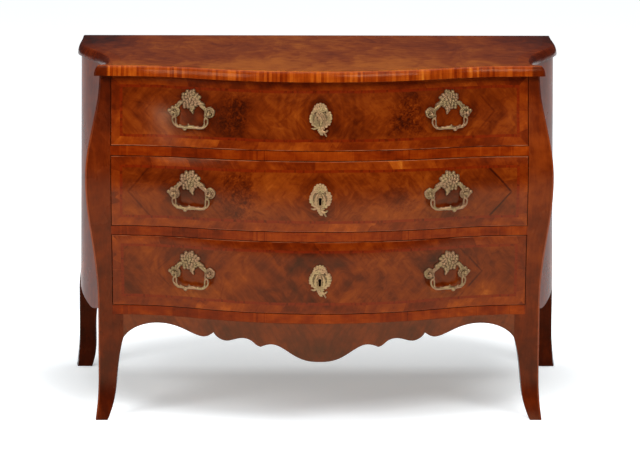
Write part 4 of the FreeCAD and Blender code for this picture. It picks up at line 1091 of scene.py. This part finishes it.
# The floor glows to the eye and in mirrors: a little by the chest, and to white round it
GLOW_SIZE = (0.78, 0.60)
GLOW_MIDDLE = 0.26
GLOW_NEAR = 0.34
GLOW_FAR = 0.58
GLOW_EDGE = (0.72, 1.25)
GLOW_END = (-3.4, -2.4)
GLOW_COLOUR = (0.97, 1.0, 1.015)
FLOOR_TONES = ((0.0, (0.78, 0.810, 0.825)), (1.0, (0.81, 0.84, 0.86)))
ROOM_COLOUR = (0.95, 0.97, 1.0)
ROOM_LIGHT = 0.045
WALL_LIGHT = 0.55
# How far to the side a ray must point to see a wall
WALL_START = (0.80, 0.97)
# Soft lamps: name, place, target, width, height and watts
LAMPS = (("key", (1.8, -3.4, 3.8), (0, 0, 0.4), 2.4, 1.8, 150),
         ("fill", (-3.0, -3.2, 3.0), (0, 0, 0.4), 2.0, 2.0, 110),
         ("top", (0.0, 0.3, 4.5), (0, 0, 0.0), 5.0, 4.4, 160))
# The camera stands 7.7 m in front and a little to the left, with a long lens; its turns are in radians
CAMERA_PLACE = (-0.1025, -7.7250, 1.8019)
CAMERA_DOWN = 0.1777
CAMERA_RIGHT = 0.0139
CAMERA_ROLL = 0.0034
LENS = 180.57
SENSOR = 36


def seen_rays(tree):
    """1 for what the eye, a mirror or glass sees, and 0 for light that falls on a matt face."""
    rays = tree.nodes.new("ShaderNodeLightPath")
    eye, mirror, glass = (Field(tree, rays.outputs["Is %s Ray" % kind])
                          for kind in ("Camera", "Glossy", "Transmission"))
    return eye.most(mirror).most(glass)


def floor():
    """The pale floor that the chest stands on."""
    mesh = bpy.data.meshes.new("floor")
    corners = [(x * FLOOR_HALF_WIDTH, y * FLOOR_HALF_DEPTH, 0)
               for x, y in ((-1, -1), (1, -1), (1, 1), (-1, 1))]
    mesh.from_pydata(corners, [], [(0, 1, 2, 3)])
    ground = placed("floor", mesh)
    finish = Finish("pale_floor")
    grit = finish.noise(finish.x * 3, finish.y * 3, 0.0, detail=3)
    finish.set(Base_Color=grit.ramp(*FLOOR_TONES), Roughness=0.9, Specular_IOR_Level=0.0)
    reach = oval(finish.x, finish.y - GLOW_MIDDLE, GLOW_SIZE)
    glow = (GLOW_NEAR + reach.step(*GLOW_EDGE) * GLOW_FAR) * finish.y.step(*GLOW_END)
    finish.set(Emission_Color=GLOW_COLOUR, Emission_Strength=glow * seen_rays(finish.tree))
    mesh.materials.append(finish.material)


def world():
    """A dim grey room with paler walls at both sides."""
    surroundings = bpy.data.worlds.new("studio")
    bpy.context.scene.world = surroundings
    surroundings.use_nodes = True
    tree = surroundings.node_tree
    room = tree.nodes["Background"]
    feed(tree, room.inputs["Color"], ROOM_COLOUR)
    sideways = added(tree, "SeparateXYZ", "X", {0: added(tree, "TexCoord", "Generated", {})})
    walls = abs(sideways).step(*WALL_START) * seen_rays(tree)
    feed(tree, room.inputs["Strength"], walls * WALL_LIGHT + ROOM_LIGHT)


def lamp(name, place, target, width, height, watts):
    """A soft rectangular lamp."""
    light = bpy.data.lights.new(name, "AREA")
    light.shape = "RECTANGLE"
    light.size, light.size_y = width, height
    light.energy = watts
    holder = placed(name, light)
    holder.location = place
    aim = Vector(target) - Vector(place)
    holder.rotation_euler = aim.to_track_quat("-Z", "Y").to_euler()


def camera():
    """The photograph's view."""
    lens = bpy.data.cameras.new("camera")
    lens.lens = LENS
    lens.sensor_width = SENSOR
    lens.clip_end = 100
    stand = placed("camera", lens)
    turn = (Matrix.Rotation(-CAMERA_RIGHT, 4, "Z") @ Matrix.Rotation(math.pi / 2 - CAMERA_DOWN, 4, "X")
            @ Matrix.Rotation(CAMERA_ROLL, 4, "Z"))
    stand.matrix_world = Matrix.Translation(CAMERA_PLACE) @ turn
    bpy.context.scene.camera = stand


floor()
world()
for values in LAMPS:
    lamp(*values)
camera()
bpy.context.scene.view_settings.view_transform = "Standard"
